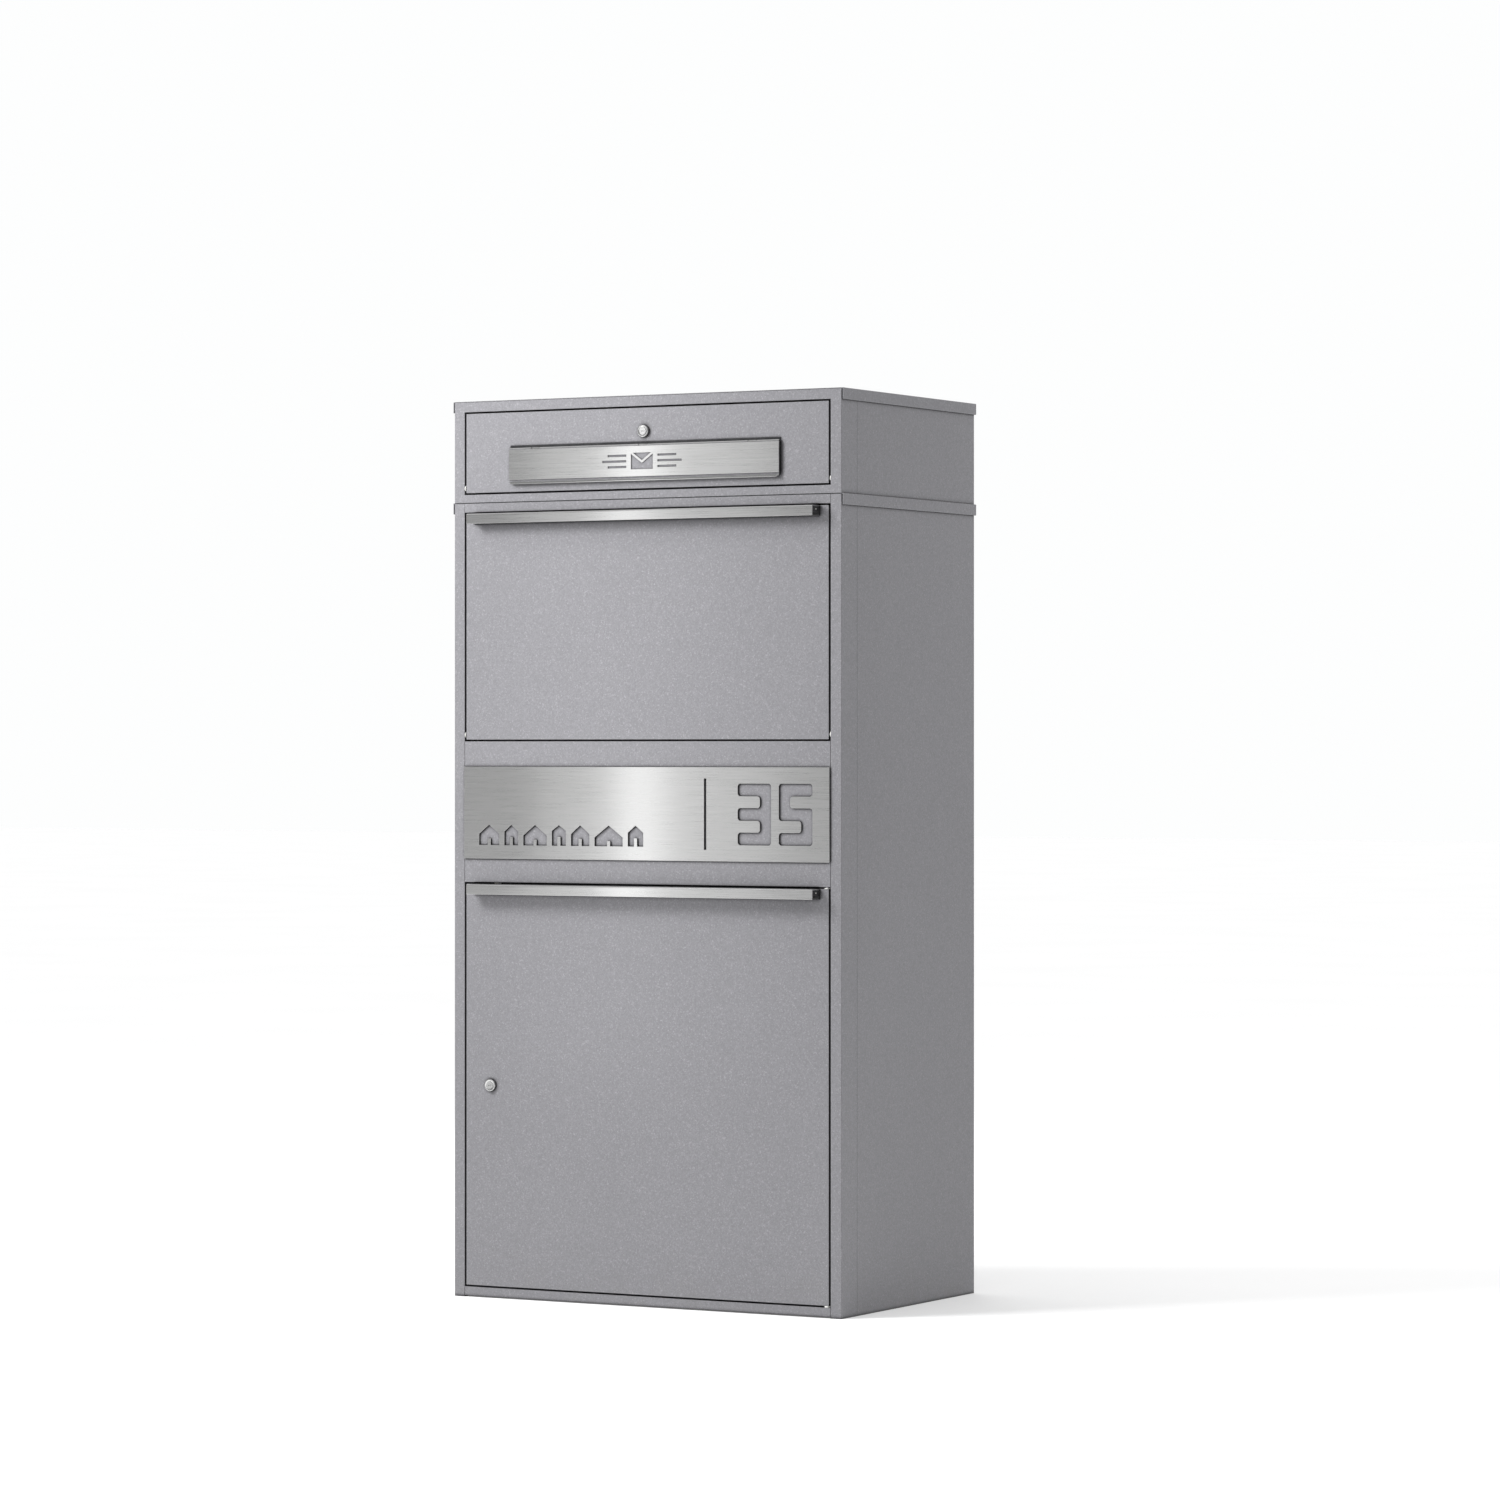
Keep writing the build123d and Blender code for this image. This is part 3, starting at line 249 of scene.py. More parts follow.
def paintedShadeOpenness(tree, reach, low, high):
    # how open the surface lies, from ambient occlusion: 0 deep in gaps, 1 on a free face; it sets where
    # shade is painted into the colour
    made = add(tree, "AmbientOcclusion", {"Distance": reach}, samples=6)
    return ramp(tree, made.outputs["AO"], 0.0, 1.0, low, high)


def bump(tree, shader, height, strength, distance, normal=None):
    made = add(tree, "Bump", {"Strength": strength, "Distance": distance})
    tree.links.new(height, made.inputs["Height"])
    if normal is not None:
        tree.links.new(normal, made.inputs["Normal"])
    tree.links.new(made.outputs["Normal"], shader.inputs["Normal"])


# Finishes

powderLook = {
    "dark": (0.178, 0.176, 0.188),
    "light": (0.238, 0.236, 0.249),
    "flake": (0.31, 0.308, 0.321),
    "worn": (0.31, 0.31, 0.32),
    "lowTone": (0.20, 0.196, 0.188),
    # painted shade: a near-black colour laid into gaps and recesses where ambient occlusion finds them
    "gap": (0.006, 0.006, 0.006),
    "flakeScale": 620.0,         # cells for each metre
    "grainScale": 1400.0,
    "speckScale": 480.0,
    "peelScale": 330.0,
    # a slightly darker, browner tone laid in patches towards the bottom
    "mottleScale": 2.2,
    "lowToneHeight": 0.10,
    "lowToneCloud": 24.0,
    "chipScale": 90.0,
    "edge": 1.2 * mm,
    "gapReach": 0.007,
    "gapRange": (0.48, 0.93),    # how open a place has to be to get the full painted shade, and to get none
    "roughness": (0.38, 0.52),
    "metallic": 0.35,
    "bump": (0.30, 0.25 * mm),
}


def powderCoat(look):
    material, tree, shader = startMaterial("powderCoat", Metallic=look["metallic"],
                                           Specular_IOR_Level=0.4)
    point = objectPoint(tree)
    grain = noise(tree, point, look["grainScale"], 2.0, 0.6)
    body = blendColours(tree, ramp(tree, grain, 0.0, 1.0, 0.3, 0.7), look["dark"], look["light"])
    sparkle = cells(tree, point, look["flakeScale"])
    bright = ramp(tree, sparkle["Red"], 0.0, 0.6, 0.84, 0.99)
    body = blendColours(tree, bright, body, look["flake"])
    # coarser specks and a slow drift of tone
    speck = ramp(tree, cells(tree, point, look["speckScale"])["Blue"], 0.91, 1.07)
    mottle = ramp(tree, noise(tree, point, look["mottleScale"], 3.0), 0.97, 1.03, 0.3, 0.7)
    shade = add(tree, "CombineColor")
    for channel in ("Red", "Green", "Blue"):
        tree.links.new(maths(tree, "MULTIPLY", speck, mottle), shade.inputs[channel])
    body = blendColours(tree, 1.0, body, shade.outputs["Color"], "MULTIPLY")
    # darker, browner patches towards the bottom
    height = add(tree, "SeparateXYZ")
    tree.links.new(point, height.inputs["Vector"])
    low = ramp(tree, height.outputs["Z"], 1.0, 0.0, 0.0, look["lowToneHeight"])
    cloud = ramp(tree, noise(tree, point, look["lowToneCloud"], 5.0), 0.0, 0.25, 0.45, 0.75)
    lowToneShare = maths(tree, "MULTIPLY", low, cloud)
    body = blendColours(tree, lowToneShare, body, look["lowTone"])
    worn, rounded = edgeMask(tree, look["edge"], 0.02, 0.30)
    patches = ramp(tree, noise(tree, point, look["chipScale"], 4.0), 0.15, 0.5, 0.4, 0.7)
    chips = maths(tree, "MULTIPLY", worn, patches)
    body = blendColours(tree, chips, body, look["worn"])
    # painted shade: gaps, recesses and the walls of cut-outs darkened towards near black by ambient
    # occlusion
    clear = paintedShadeOpenness(tree, look["gapReach"], *look["gapRange"])
    body = blendColours(tree, clear, look["gap"], body)
    tree.links.new(body, shader.inputs["Base Color"])
    tree.links.new(ramp(tree, sparkle["Green"], *look["roughness"]), shader.inputs["Roughness"])
    peel = noise(tree, point, look["peelScale"], 2.0)
    relief = maths(tree, "ADD", peel, maths(tree, "MULTIPLY", grain, 0.4))
    bump(tree, shader, relief, *look["bump"], rounded)
    return material


steelLook = {
    "dark": (0.41, 0.41, 0.408),
    "light": (0.51, 0.51, 0.507),
    "worn": (0.93, 0.93, 0.92),
    "strokes": (14.0, 1700.0, 1700.0),    # fine lines along X
    "streaks": (6.0, 520.0, 520.0),
    "roughness": (0.24, 0.36),
    "edge": 0.8 * mm,
    # painted shade: a near-black colour laid into gaps and the walls of cut-outs
    "gap": (0.02, 0.02, 0.02),
    "gapReach": 0.006,
    "gapRange": (0.45, 0.92),
    "bump": (0.20, 0.06 * mm),
}


# a paler copy of the stainless, painting the name plate brighter than the number plate
brightPaintedSteelLook = {**steelLook, "dark": (0.48, 0.48, 0.477), "light": (0.59, 0.59, 0.587)}


def brushedSteel(name, look):
    material, tree, shader = startMaterial(name, Metallic=1.0, Anisotropic=0.75,
                                           Anisotropic_Rotation=0.25)
    fine = noise(tree, objectPoint(tree, scale=look["strokes"]), 1.0, 3.0, 0.7)
    wide = noise(tree, objectPoint(tree, scale=look["streaks"]), 1.0, 3.0, 0.6)
    lines = maths(tree, "ADD", maths(tree, "MULTIPLY", fine, 0.75), maths(tree, "MULTIPLY", wide, 0.25))
    colour = blendColours(tree, ramp(tree, lines, 0.0, 1.0, 0.3, 0.7), look["dark"], look["light"])
    worn, rounded = edgeMask(tree, look["edge"], 0.02, 0.4)
    colour = blendColours(tree, maths(tree, "MULTIPLY", worn, 0.7), colour, look["worn"])
    # painted shade: the steel darkened towards near black in gaps and cut-outs by ambient occlusion
    clear = paintedShadeOpenness(tree, look["gapReach"], *look["gapRange"])
    colour = blendColours(tree, clear, look["gap"], colour)
    tree.links.new(colour, shader.inputs["Base Color"])
    tree.links.new(ramp(tree, lines, *look["roughness"], 0.3, 0.7), shader.inputs["Roughness"])
    bump(tree, shader, lines, *look["bump"], rounded)
    return material


galvanisedLook = {
    "dark": (0.36, 0.37, 0.38),
    "light": (0.60, 0.61, 0.62),
    "stain": (0.55, 0.55, 0.54),
    "spangleScale": 75.0,
    "stainScale": 9.0,
    "pitScale": 260.0,
    "roughness": (0.32, 0.52),
    "bump": (0.12, 0.1 * mm),
}


def galvanisedSheet(look):
    material, tree, shader = startMaterial("galvanisedSheet", Metallic=0.9)
    point = objectPoint(tree)
    spangle = cells(tree, point, look["spangleScale"])
    colour = blendColours(tree, spangle["Red"], look["dark"], look["light"])
    stain = ramp(tree, noise(tree, point, look["stainScale"], 4.0), 0.0, 0.35, 0.45, 0.7)
    colour = blendColours(tree, stain, colour, look["stain"])
    tree.links.new(colour, shader.inputs["Base Color"])
    tree.links.new(ramp(tree, spangle["Green"], *look["roughness"]), shader.inputs["Roughness"])
    bump(tree, shader, noise(tree, point, look["pitScale"], 3.0), *look["bump"])
    return material


zincLook = {
    "blue": (0.56, 0.57, 0.60),
    "yellow": (0.72, 0.70, 0.62),
    "worn": (0.82, 0.82, 0.80),
    "cloudScale": 120.0,
    "grainScale": 700.0,
    "pitScale": 900.0,
    "edge": 0.5 * mm,
    "roughness": (0.22, 0.38),
    "bump": (0.10, 0.05 * mm),
}


def zincPlate(look):
    material, tree, shader = startMaterial("zincPlate", Metallic=1.0)
    point = objectPoint(tree)
    cloud = ramp(tree, noise(tree, point, look["cloudScale"], 3.0), 0.0, 1.0, 0.35, 0.65)
    colour = blendColours(tree, cloud, look["blue"], look["yellow"])
    worn, rounded = edgeMask(tree, look["edge"], 0.02, 0.4)
    colour = blendColours(tree, maths(tree, "MULTIPLY", worn, 0.6), colour, look["worn"])
    tree.links.new(colour, shader.inputs["Base Color"])
    grain = ramp(tree, noise(tree, point, look["grainScale"]), *look["roughness"])
    tree.links.new(grain, shader.inputs["Roughness"])
    bump(tree, shader, noise(tree, point, look["pitScale"]), *look["bump"], rounded)
    return material


chromeLook = {
    "dark": (0.43, 0.43, 0.43),
    "light": (0.66, 0.66, 0.655),
    "markScale": 4200.0,
    "edge": 0.4 * mm,
    "roughness": (0.16, 0.30),
    "bump": (0.15, 0.04 * mm),
}


def turnedChrome(name, centre, look):
    # fine turning marks round the lock's own axis
    material, tree, shader = startMaterial(name, Metallic=1.0)
    point = objectPoint(tree, move=(-centre[0], 0, -centre[2]))
    apart = add(tree, "SeparateXYZ")
    tree.links.new(point, apart.inputs["Vector"])
    across = maths(tree, "POWER", apart.outputs["X"], 2.0)
    upright = maths(tree, "POWER", apart.outputs["Z"], 2.0)
    radius = maths(tree, "SQRT", maths(tree, "ADD", across, upright))
    ring = add(tree, "CombineXYZ")
    tree.links.new(radius, ring.inputs["X"])
    marks = noise(tree, ring.outputs["Vector"], look["markScale"], 3.0, 0.7)
    share = ramp(tree, marks, 0.0, 1.0, 0.3, 0.7)
    tree.links.new(blendColours(tree, share, look["dark"], look["light"]), shader.inputs["Base Color"])
    tree.links.new(ramp(tree, marks, *look["roughness"]), shader.inputs["Roughness"])
    rounded = edgeMask(tree, look["edge"], 0.02, 0.4)[1]
    bump(tree, shader, marks, *look["bump"], rounded)
    return material


plasticLook = {"cloudScale": 60.0, "edge": 0.6 * mm, "unevenness": 0.08, "bump": (0.25, 0.10 * mm)}


def mouldedPlastic(name, dark, light, roughness, grainScale):
    look = plasticLook
    material, tree, shader = startMaterial(name, Specular_IOR_Level=0.45)
    point = objectPoint(tree)
    cloud = noise(tree, point, look["cloudScale"], 4.0)
    colour = blendColours(tree, ramp(tree, cloud, 0.0, 1.0, 0.35, 0.65), dark, light)
    worn, rounded = edgeMask(tree, look["edge"], 0.02, 0.4)
    paler = tuple(min(1.0, value * 1.8 + 0.02) for value in light)
    colour = blendColours(tree, maths(tree, "MULTIPLY", worn, 0.4), colour, paler)
    tree.links.new(colour, shader.inputs["Base Color"])
    grain = noise(tree, point, grainScale, 2.0)
    low, high = roughness - look["unevenness"], roughness + look["unevenness"]
    tree.links.new(ramp(tree, grain, low, high), shader.inputs["Roughness"])
    bump(tree, shader, grain, *look["bump"], rounded)
    return material


def floorPaint(colour, glow):
    material, tree, shader = startMaterial("floorPaint", Roughness=0.9, Specular_IOR_Level=0.0)
    cloud = ramp(tree, noise(tree, objectPoint(tree), 1.5, 3.0), 0.0, 1.0, 0.3, 0.7)
    paler = tuple(value * 1.02 for value in colour)
    tree.links.new(blendColours(tree, cloud, colour, paler), shader.inputs["Base Color"])
    shader.inputs["Emission Color"].default_value = (1.0, 1.0, 1.0, 1.0)
    shader.inputs["Emission Strength"].default_value = glow
    return material


def layFloor(setup):
    bpy.ops.mesh.primitive_plane_add(size=2 * setup["half"], location=(0, 0, cadLow.z - setup["drop"]))
    floor = bpy.context.object
    floor.name = "studioFloor"
    floor.data.materials.append(floorPaint(setup["colour"], setup["glow"]))


bpy.ops.object.select_all(action="DESELECT")
placeCamera(cameraSetup)
placeLights(lightSetup)
placeSun(sunSetup)
makeWorld(worldSetup)
layFloor(floorSetup)
bpy.context.scene.view_settings.view_transform = "Standard"
print("stage ready")


def middleOf(name):
    low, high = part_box(name)
    return (low + high) / 2


finishes = {
    "powder_coat": powderCoat(powderLook),
    "stainless": brushedSteel("brushedStainless", steelLook),
    "galvanised": galvanisedSheet(galvanisedLook),
    "zinc_plated": zincPlate(zincLook),
    # name, dark colour, light colour, roughness, grains for each metre
    "black_plastic": mouldedPlastic("blackPlastic", (0.010, 0.010, 0.011),
                                    (0.022, 0.022, 0.023), 0.42, 1500.0),
    "pale_plastic": mouldedPlastic("palePlastic", (0.60, 0.60, 0.57),
                                   (0.72, 0.72, 0.69), 0.38, 900.0),
    "rubber": mouldedPlastic("blackRubber", (0.014, 0.014, 0.014),
                             (0.030, 0.030, 0.030), 0.75, 700.0),
}
brightPaintedSteel = brushedSteel("brushedPaintedBright", brightPaintedSteelLook)     # the name plate: the same stainless with a paler colour, which paints extra light onto it
lockFinishes = {
    "lower": turnedChrome("turnedChromeLower", middleOf("lower_lock_ring"), chromeLook),
    "letter": turnedChrome("turnedChromeUpper", middleOf("letter_lock_ring"), chromeLook),
}


def paint(piece, material):
    piece.data.materials.clear()
    piece.data.materials.append(material)


for name, piece in nodes.items():
    if slotOf[name] == "lock_chrome":
        paint(piece, lockFinishes[name.split("_")[0]])
    else:
        paint(piece, finishes[slotOf[name]])
print("finishes on all nodes")


# Modelling helpers

def clearSelection():
    if bpy.context.object and bpy.context.object.mode != "OBJECT":
        bpy.ops.object.mode_set(mode="OBJECT")
    bpy.ops.object.select_all(action="DESELECT")


def choose(piece):
    clearSelection()
    piece.select_set(True)
    bpy.context.view_layer.objects.active = piece


def editFaces(piece, test):
    # edit mode with only the faces that pass the test on their middle and normal
    bpy.ops.object.mode_set(mode="EDIT")
    bpy.ops.mesh.select_mode(type="FACE")
    bpy.ops.mesh.select_all(action="DESELECT")
    bpy.ops.object.mode_set(mode="OBJECT")
    for face in piece.data.polygons:
        face.select = test(face.center, face.normal)
    bpy.ops.object.mode_set(mode="EDIT")


def pushFaces(way):
    bpy.ops.mesh.extrude_region_move(TRANSFORM_OT_translate={"value": way})


def settle(piece):
    bpy.ops.object.mode_set(mode="OBJECT")
    choose(piece)
    bpy.ops.object.transform_apply(location=True, rotation=True, scale=True)


def rodAlongY(place, radius, depth, sides):
    clearSelection()
    bpy.ops.mesh.primitive_cylinder_add(vertices=sides, radius=radius, depth=depth, location=place,
                                        rotation=(math.pi / 2, 0, 0))
    piece = bpy.context.object
    settle(piece)
    return piece


def roundEdges(piece, width, segments=2, angle=40.0):
    choose(piece)
    rounding = piece.modifiers.new("rounding", "BEVEL")
    rounding.width = width
    rounding.segments = segments
    rounding.limit_method = "ANGLE"
    rounding.angle_limit = math.radians(angle)
    rounding.use_clamp_overlap = True
    bpy.ops.object.modifier_apply(modifier="rounding")


def evenShading(piece):
    # large faces keep their own normal next to the narrow rounded ones
    choose(piece)
    shading = piece.modifiers.new("evenShading", "WEIGHTED_NORMAL")
    shading.mode = "FACE_AREA"
    shading.weight = 100
    shading.keep_sharp = True
    bpy.ops.object.modifier_apply(modifier="evenShading")


def copied(piece, move):
    twin = piece.copy()
    twin.data = piece.data.copy()
    bpy.context.collection.objects.link(twin)
    choose(twin)
    bpy.ops.transform.translate(value=move)
    bpy.ops.object.transform_apply(location=True, rotation=True, scale=True)
    return twin


def joined(parts):
    clearSelection()
    for part in parts:
        part.select_set(True)
    bpy.context.view_layer.objects.active = parts[0]
    if len(parts) > 1:
        bpy.ops.object.join()
    return parts[0]


def finishPiece(piece, name, body, material, replaced=(), smooth=35.0):
    settle(piece)
    bpy.ops.object.shade_smooth_by_angle(angle=math.radians(smooth))
    evenShading(piece)
    piece.name = name
    piece.data.name = name
    paint(piece, material)
    if replaced:
        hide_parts(*replaced)
    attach(piece, body)
    clearSelection()


def weldedCopy(node):
    # the CAD mesh as one joined skin, ready for rounding
    piece = bpy.data.objects.new(node + "Copy", nodes[node].data.copy())
    bpy.context.collection.objects.link(piece)
    choose(piece)
    bpy.ops.object.mode_set(mode="EDIT")
    bpy.ops.mesh.select_all(action="SELECT")
    bpy.ops.mesh.remove_doubles(threshold=0.01 * mm)
    bpy.ops.mesh.dissolve_limited(angle_limit=math.radians(0.6))
    bpy.ops.object.mode_set(mode="OBJECT")
    return piece


# Brushed plates with eased edges

plateSetup = {"ease": 0.25 * mm}


def easedPlate(node, name, body, material):
    piece = weldedCopy(node)
    roundEdges(piece, plateSetup["ease"], 2, 50.0)
    finishPiece(piece, name, body, material, (node,))


easedPlate("number_plate", "numberPlateEased", "case", finishes["stainless"])
easedPlate("name_plate", "namePlateEased", "flap", brightPaintedSteel)
print("plates eased")


# Hinge strip over the flap: black strip above, partly the real black strip and partly painted shade of
# the opening above the flap; steel knuckles below

stripSetup = {"steelBelow": 3.1 * mm, "ease": 0.2 * mm}


def hingeStrip(setup):
    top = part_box("flap_hinge_strip")[1].z
    piece = weldedCopy("flap_hinge_strip")
    roundEdges(piece, setup["ease"], 2, 50.0)
    finishPiece(piece, "hingeStripTwoTone", "letterbox_door",
                finishes["black_plastic"], ("flap_hinge_strip",))
    # the black upper band also paints the shade of the opening above the flap
    piece.data.materials.append(finishes["stainless"])
    for face in piece.data.polygons:
        if face.center.z < top - setup["steelBelow"]:
            face.material_index = 1


hingeStrip(stripSetup)
print("hinge strip ready")


# Flap: bright folded rims, and the coat behind the name plate's cut-outs

flapSetup = {"inside": 1.0 * mm, "ease": 0.15 * mm}


def twoToneFlap(setup):
    plateLow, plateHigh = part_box("name_plate")
    piece = weldedCopy("letter_flap")
    roundEdges(piece, setup["ease"], 2, 50.0)
    finishPiece(piece, "flapFolded", "flap", finishes["stainless"], ("letter_flap",))
    piece.data.materials.append(finishes["powder_coat"])
    for face in piece.data.polygons:
        middle = face.center
        behind = plateLow.z - setup["inside"] < middle.z < plateHigh.z + setup["inside"]
        if behind and abs(middle.x) < plateHigh.x:
            face.material_index = 1


twoToneFlap(flapSetup)
print("flap ready")


# Locks: a turned body with a dished head and threaded barrel, and a plug with a keyway

lockSetup = {
    "steps": 72,
    "bore": 0.08 * mm,           # room round the plug
    "barrel": 1.5 * mm,          # how much slimmer than the head
    "threadPitch": 1.0 * mm,
    "threadDepth": 0.45 * mm,
    "threadStart": 3.0 * mm,     # behind the face of the door
    "endChamfer": 0.5 * mm,
    "keyHalf": (3.3 * mm, 0.75 * mm),
    "leadIn": 0.25 * mm,
    "narrowing": (0.90, 1.0, 0.72),
    "keyDepth": 8.5 * mm,
    "shutterDepth": 0.7 * mm,
    "shutterThick": 0.6 * mm,
    "shutterShare": (0.84, 0.62),        # of the keyway's width and height
    "shutterEase": 0.12 * mm,
    # millimetres out from the bore and behind the face, then in from the head's edge
    "dish": ((0.0, 0.75), (0.35, 0.50), (0.9, 0.42)),
    "rim": ((1.7, 0.12), (1.3, 0.0), (0.75, 0.02), (0.35, 0.22), (0.08, 0.62), (0.0, 1.05)),
    "foot": 0.25 * mm,
}


def spinProfile(points, centre, steps):
    # points are radius and depth, walked round once and spun about the Y axis
    clearSelection()
    radius, depth = points[0]
    bpy.ops.mesh.primitive_plane_add(size=0.001, location=(centre[0] + radius, depth, centre[2]))
    piece = bpy.context.object
    settle(piece)
    bpy.ops.object.mode_set(mode="EDIT")
    bpy.ops.mesh.select_mode(type="VERT")
    bpy.ops.mesh.select_all(action="SELECT")
    bpy.ops.mesh.merge(type="CENTER")
    for (r0, y0), (r1, y1) in zip(points, points[1:] + points[:1]):
        bpy.ops.mesh.extrude_region_move(TRANSFORM_OT_translate={"value": (r1 - r0, y1 - y0, 0)})
    bpy.ops.mesh.select_all(action="SELECT")
    bpy.ops.mesh.spin(steps=steps, angle=2 * math.pi, center=tuple(centre), axis=(0, 1, 0))
    bpy.ops.mesh.select_all(action="SELECT")
    bpy.ops.mesh.remove_doubles(threshold=0.002 * mm)
    bpy.ops.mesh.normals_make_consistent(inside=False)
    bpy.ops.object.mode_set(mode="OBJECT")
    return piece


def lockBody(which, body, setup):
    low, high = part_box(which + "_lock_body")
    seat, door = [corner.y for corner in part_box(which + "_lock_ring")]
    plugLow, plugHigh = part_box(which + "_lock_plug")
    face, rear = low.y, high.y
    head = (high.x - low.x) / 2
    bore = (plugHigh.x - plugLow.x) / 2 + setup["bore"]
    barrel = head - setup["barrel"]
    points = [(bore + out * mm, face + deep * mm) for out, deep in setup["dish"]]
    points += [(head - inside * mm, face + deep * mm) for inside, deep in setup["rim"]]
    points += [(head, seat - setup["foot"]), (head - setup["foot"], seat), (barrel, seat)]
    y = door + setup["threadStart"]
    points.append((barrel, y))
    while y + setup["threadPitch"] < rear - 0.6 * mm:
        points.append((barrel - setup["threadDepth"], y + setup["threadPitch"] / 2))
        points.append((barrel, y + setup["threadPitch"]))
        y += setup["threadPitch"]
    points += [(barrel - setup["endChamfer"], rear), (bore, rear)]
    piece = spinProfile(points, (low + high) / 2, setup["steps"])
    finishPiece(piece, which + "LockTurnedBody", body, lockFinishes[which],
                (which + "_lock_body",), 28.0)


def lockPlug(which, body, setup):
    low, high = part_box(which + "_lock_plug")
    centre = (low + high) / 2
    piece = rodAlongY(centre, (high.x - low.x) / 2, high.y - low.y, 64)
    halfAcross, halfUp = setup["keyHalf"]
    bpy.ops.object.mode_set(mode="EDIT")
    for half, way in ((halfAcross, (1, 0, 0)), (halfUp, (0, 0, 1))):
        for shift in (half, -half):
            bpy.ops.mesh.select_all(action="SELECT")
            cut = [c + shift * part for c, part in zip(centre, way)]
            bpy.ops.mesh.bisect(plane_co=cut, plane_no=way)
    bpy.ops.object.mode_set(mode="OBJECT")

    def inKey(middle, normal):
        offset = middle - centre
        return normal.y < -0.9 and abs(offset.x) < halfAcross and abs(offset.z) < halfUp

    editFaces(piece, inKey)
    pushFaces((0, setup["leadIn"], 0))
    bpy.ops.transform.resize(value=setup["narrowing"])     # the keyway narrows behind a lead-in
    pushFaces((0, setup["keyDepth"], 0))
    bpy.ops.object.mode_set(mode="OBJECT")
    clearSelection()
    depth = low.y + setup["shutterDepth"] + 0.4 * mm
    bpy.ops.mesh.primitive_cube_add(size=1.0, location=(centre.x, depth, centre.z))
    shutter = bpy.context.object
    wide, tall = setup["shutterShare"]
    shutter.scale = (2 * halfAcross * wide, setup["shutterThick"], 2 * halfUp * tall)
    settle(shutter)
    roundEdges(shutter, setup["shutterEase"], 2)
    finishPiece(joined([piece, shutter]), which + "LockPlugWithKeyway", body,
                lockFinishes[which], (which + "_lock_plug",), 28.0)


lockBody("lower", "removal_door", lockSetup)
lockBody("letter", "letterbox_door", lockSetup)
lockPlug("lower", "removal_lock", lockSetup)
lockPlug("letter", "letterbox_lock", lockSetup)
print("locks turned")


# Handle screws with lobed recesses, and a pin in each end of the handles' carriers

screwSetup = {
    "shares": (-1.0, -1 / 3, 1 / 3, 1.0),        # of the way from the middle to the last screw
    "endInset": 4.0 * mm,
    "sunk": 0.45 * mm,
    "shank": 2.0 * mm,
    "shankTip": (0.5 * mm, 0.4 * mm),
    "head": 3.95 * mm,
    "headThick": 2.0 * mm,
    "headEase": 0.18 * mm,
    "recess": 1.75 * mm,
    "recessDepth": 1.1 * mm,
    "recessMiddle": 0.3 * mm,
    "lobes": 6,
    "lobeGap": (10, 50),         # degrees of each lobe's share that are drawn in
    "lobeDraw": 0.72,
}
pinSetup = {
    "radius": 1.5 * mm,
    "stand": 0.5 * mm,
    "root": 0.4 * mm,
    "rim": 0.45 * mm,
    "dish": 0.25 * mm,
    "ease": 0.15 * mm,
    "behindFront": 10.0 * mm,
    "belowTop": 4.5 * mm,
}


def lobedScrew(place, front, setup):
    # the head's outer face looks into the box, along +Y
    x, y, z = place
    thick = setup["headThick"]
    head = rodAlongY((x, y - thick / 2, z), setup["head"], thick, 24)
    editFaces(head, lambda middle, normal: normal.y > 0.9)
    bpy.ops.mesh.inset(thickness=setup["head"] - setup["recess"])
    bpy.ops.mesh.select_all(action="DESELECT")
    bpy.ops.object.mode_set(mode="OBJECT")
    low, high = setup["lobeGap"]
    for v in head.data.vertices:
        across, up = v.co.x - x, v.co.z - z
        turn = math.degrees(math.atan2(up, across)) % (360 / setup["lobes"])
        v.select = math.hypot(across, up) < setup["recess"] * 1.05 and low < turn < high
    bpy.ops.object.mode_set(mode="EDIT")
    bpy.ops.mesh.select_mode(type="VERT")
    draw = setup["lobeDraw"]
    bpy.ops.transform.resize(value=(draw, 1.0, draw), center_override=place)
    bpy.ops.object.mode_set(mode="OBJECT")

    def inRecess(middle, normal):
        return normal.y > 0.9 and math.hypot(middle.x - x, middle.z - z) < setup["recessMiddle"]

    editFaces(head, inRecess)
    pushFaces((0, -setup["recessDepth"], 0))
    bpy.ops.object.mode_set(mode="OBJECT")
    roundEdges(head, setup["headEase"], 2, 50.0)
    depth = y - thick - front
    shank = rodAlongY((x, front + depth / 2, z), setup["shank"], depth, 20)
    inset, stand = setup["shankTip"]
    editFaces(shank, lambda middle, normal: normal.y < -0.9)
    bpy.ops.mesh.inset(thickness=inset)
    bpy.ops.transform.translate(value=(0, -stand, 0))
    bpy.ops.object.mode_set(mode="OBJECT")
    return joined([head, shank])


def handleScrews(which, body, setup):
    low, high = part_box(which + "_handle_screws")
    screw = lobedScrew((0.0, high.y, (low.z + high.z) / 2), low.y + setup["sunk"], setup)
    reach = high.x - setup["endInset"]
    parts = [copied(screw, (share * reach, 0, 0)) for share in setup["shares"]]
    bpy.data.objects.remove(screw, do_unlink=True)
    finishPiece(joined(parts), which + "HandleLobedScrews", body,
                finishes["zinc_plated"], (which + "_handle_screws",))


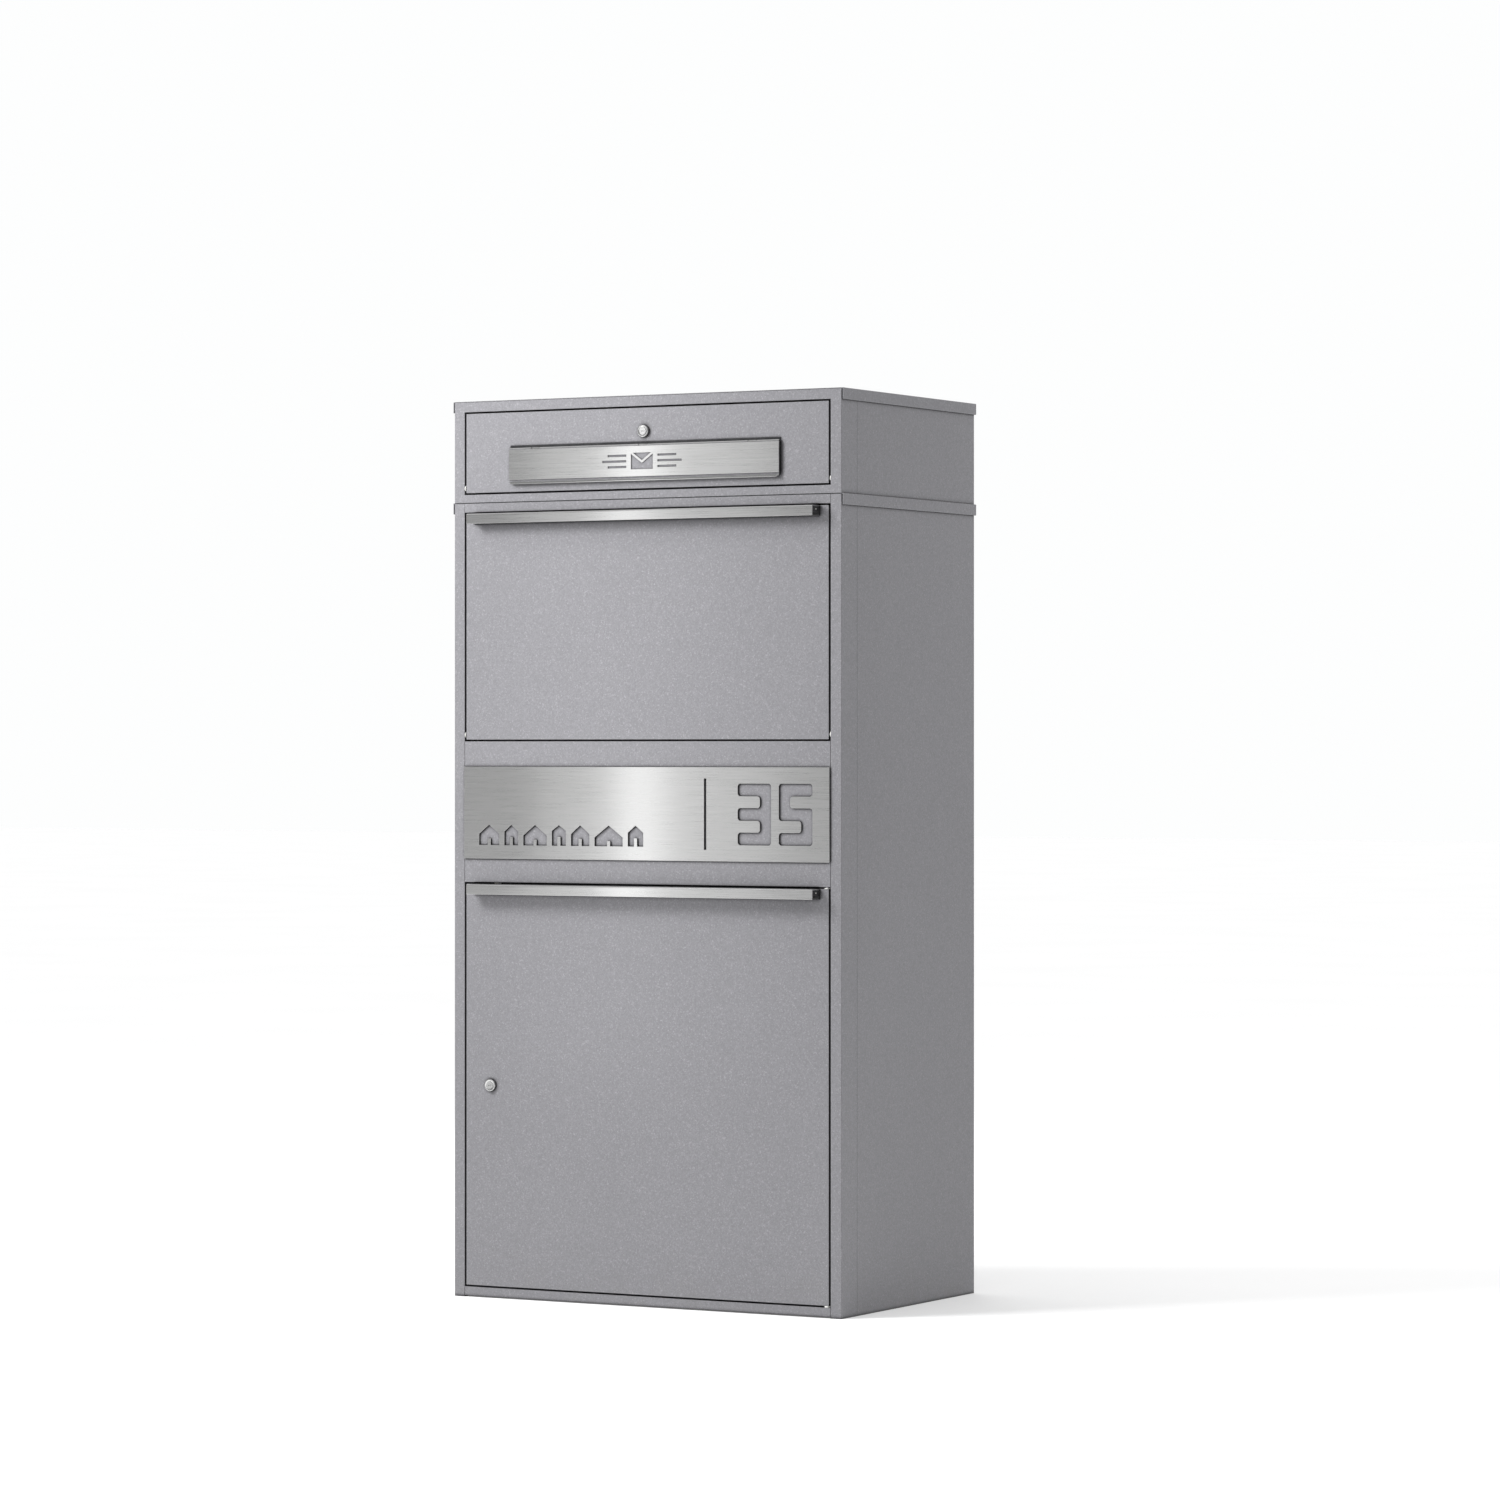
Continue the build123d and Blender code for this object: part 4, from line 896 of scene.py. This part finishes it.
def handlePins(which, body, setup):
    low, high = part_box(which + "_handle_core")
    parts = []
    for side, end in ((-1, low.x), (1, high.x)):
        clearSelection()
        x = end + side * (setup["stand"] - setup["root"]) / 2
        place = (x, low.y + setup["behindFront"], high.z - setup["belowTop"])
        bpy.ops.mesh.primitive_cylinder_add(
            vertices=28, radius=setup["radius"], depth=setup["stand"] + setup["root"],
            location=place, rotation=(0, math.pi / 2, 0))
        pin = bpy.context.object
        settle(pin)
        editFaces(pin, lambda middle, normal: normal.x * side > 0.9)
        bpy.ops.mesh.inset(thickness=setup["rim"])
        pushFaces((-side * setup["dish"], 0, 0))
        bpy.ops.object.mode_set(mode="OBJECT")
        roundEdges(pin, setup["ease"], 2)
        parts.append(pin)
    finishPiece(joined(parts), which + "HandleEndPins", body, finishes["zinc_plated"])


for which, body in (("drop", "drop_flap"), ("lower", "removal_door")):
    handleScrews(which, body, screwSetup)
    handlePins(which, body, pinSetup)
print("handle screws and pins ready")


# Spot-weld marks where the back sheets lie on the side sheets' flanges

weldSetup = {
    "radius": 3.2 * mm,
    "stand": 0.30 * mm,
    "shoulder": (0.7 * mm, 0.02 * mm),   # inset, and lift
    "dimple": (1.0 * mm, -0.22 * mm),
    "inset": 7.0 * mm,           # from the edge of the back sheet
    "spacing": 78.0 * mm,
    "margin": 45.0 * mm,
}


def weldMark(setup, plane):
    mark = rodAlongY((0, plane, 0), setup["radius"], 2 * setup["stand"], 20)
    editFaces(mark, lambda middle, normal: normal.y > 0.9)
    for inset, lift in (setup["shoulder"], setup["dimple"]):
        bpy.ops.mesh.inset(thickness=inset)
        bpy.ops.transform.translate(value=(0, lift, 0))
    bpy.ops.object.mode_set(mode="OBJECT")
    return mark


def weldRows(node, name, setup):
    low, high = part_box(node)
    mark = weldMark(setup, high.y)
    bottom, length = low.z + setup["margin"], high.z - low.z - 2 * setup["margin"]
    count = max(2, round(length / setup["spacing"]) + 1)
    step = length / (count - 1)
    marks = []
    for x in (low.x + setup["inset"], high.x - setup["inset"]):
        for index in range(count):
            marks.append(copied(mark, (x, 0, bottom + index * step)))
    bpy.data.objects.remove(mark, do_unlink=True)
    finishPiece(joined(marks), name, "case", finishes["powder_coat"])


weldRows("parcel_back", "parcelBackWeldMarks", weldSetup)
weldRows("letterbox_back", "letterboxBackWeldMarks", weldSetup)
print("weld marks ready")
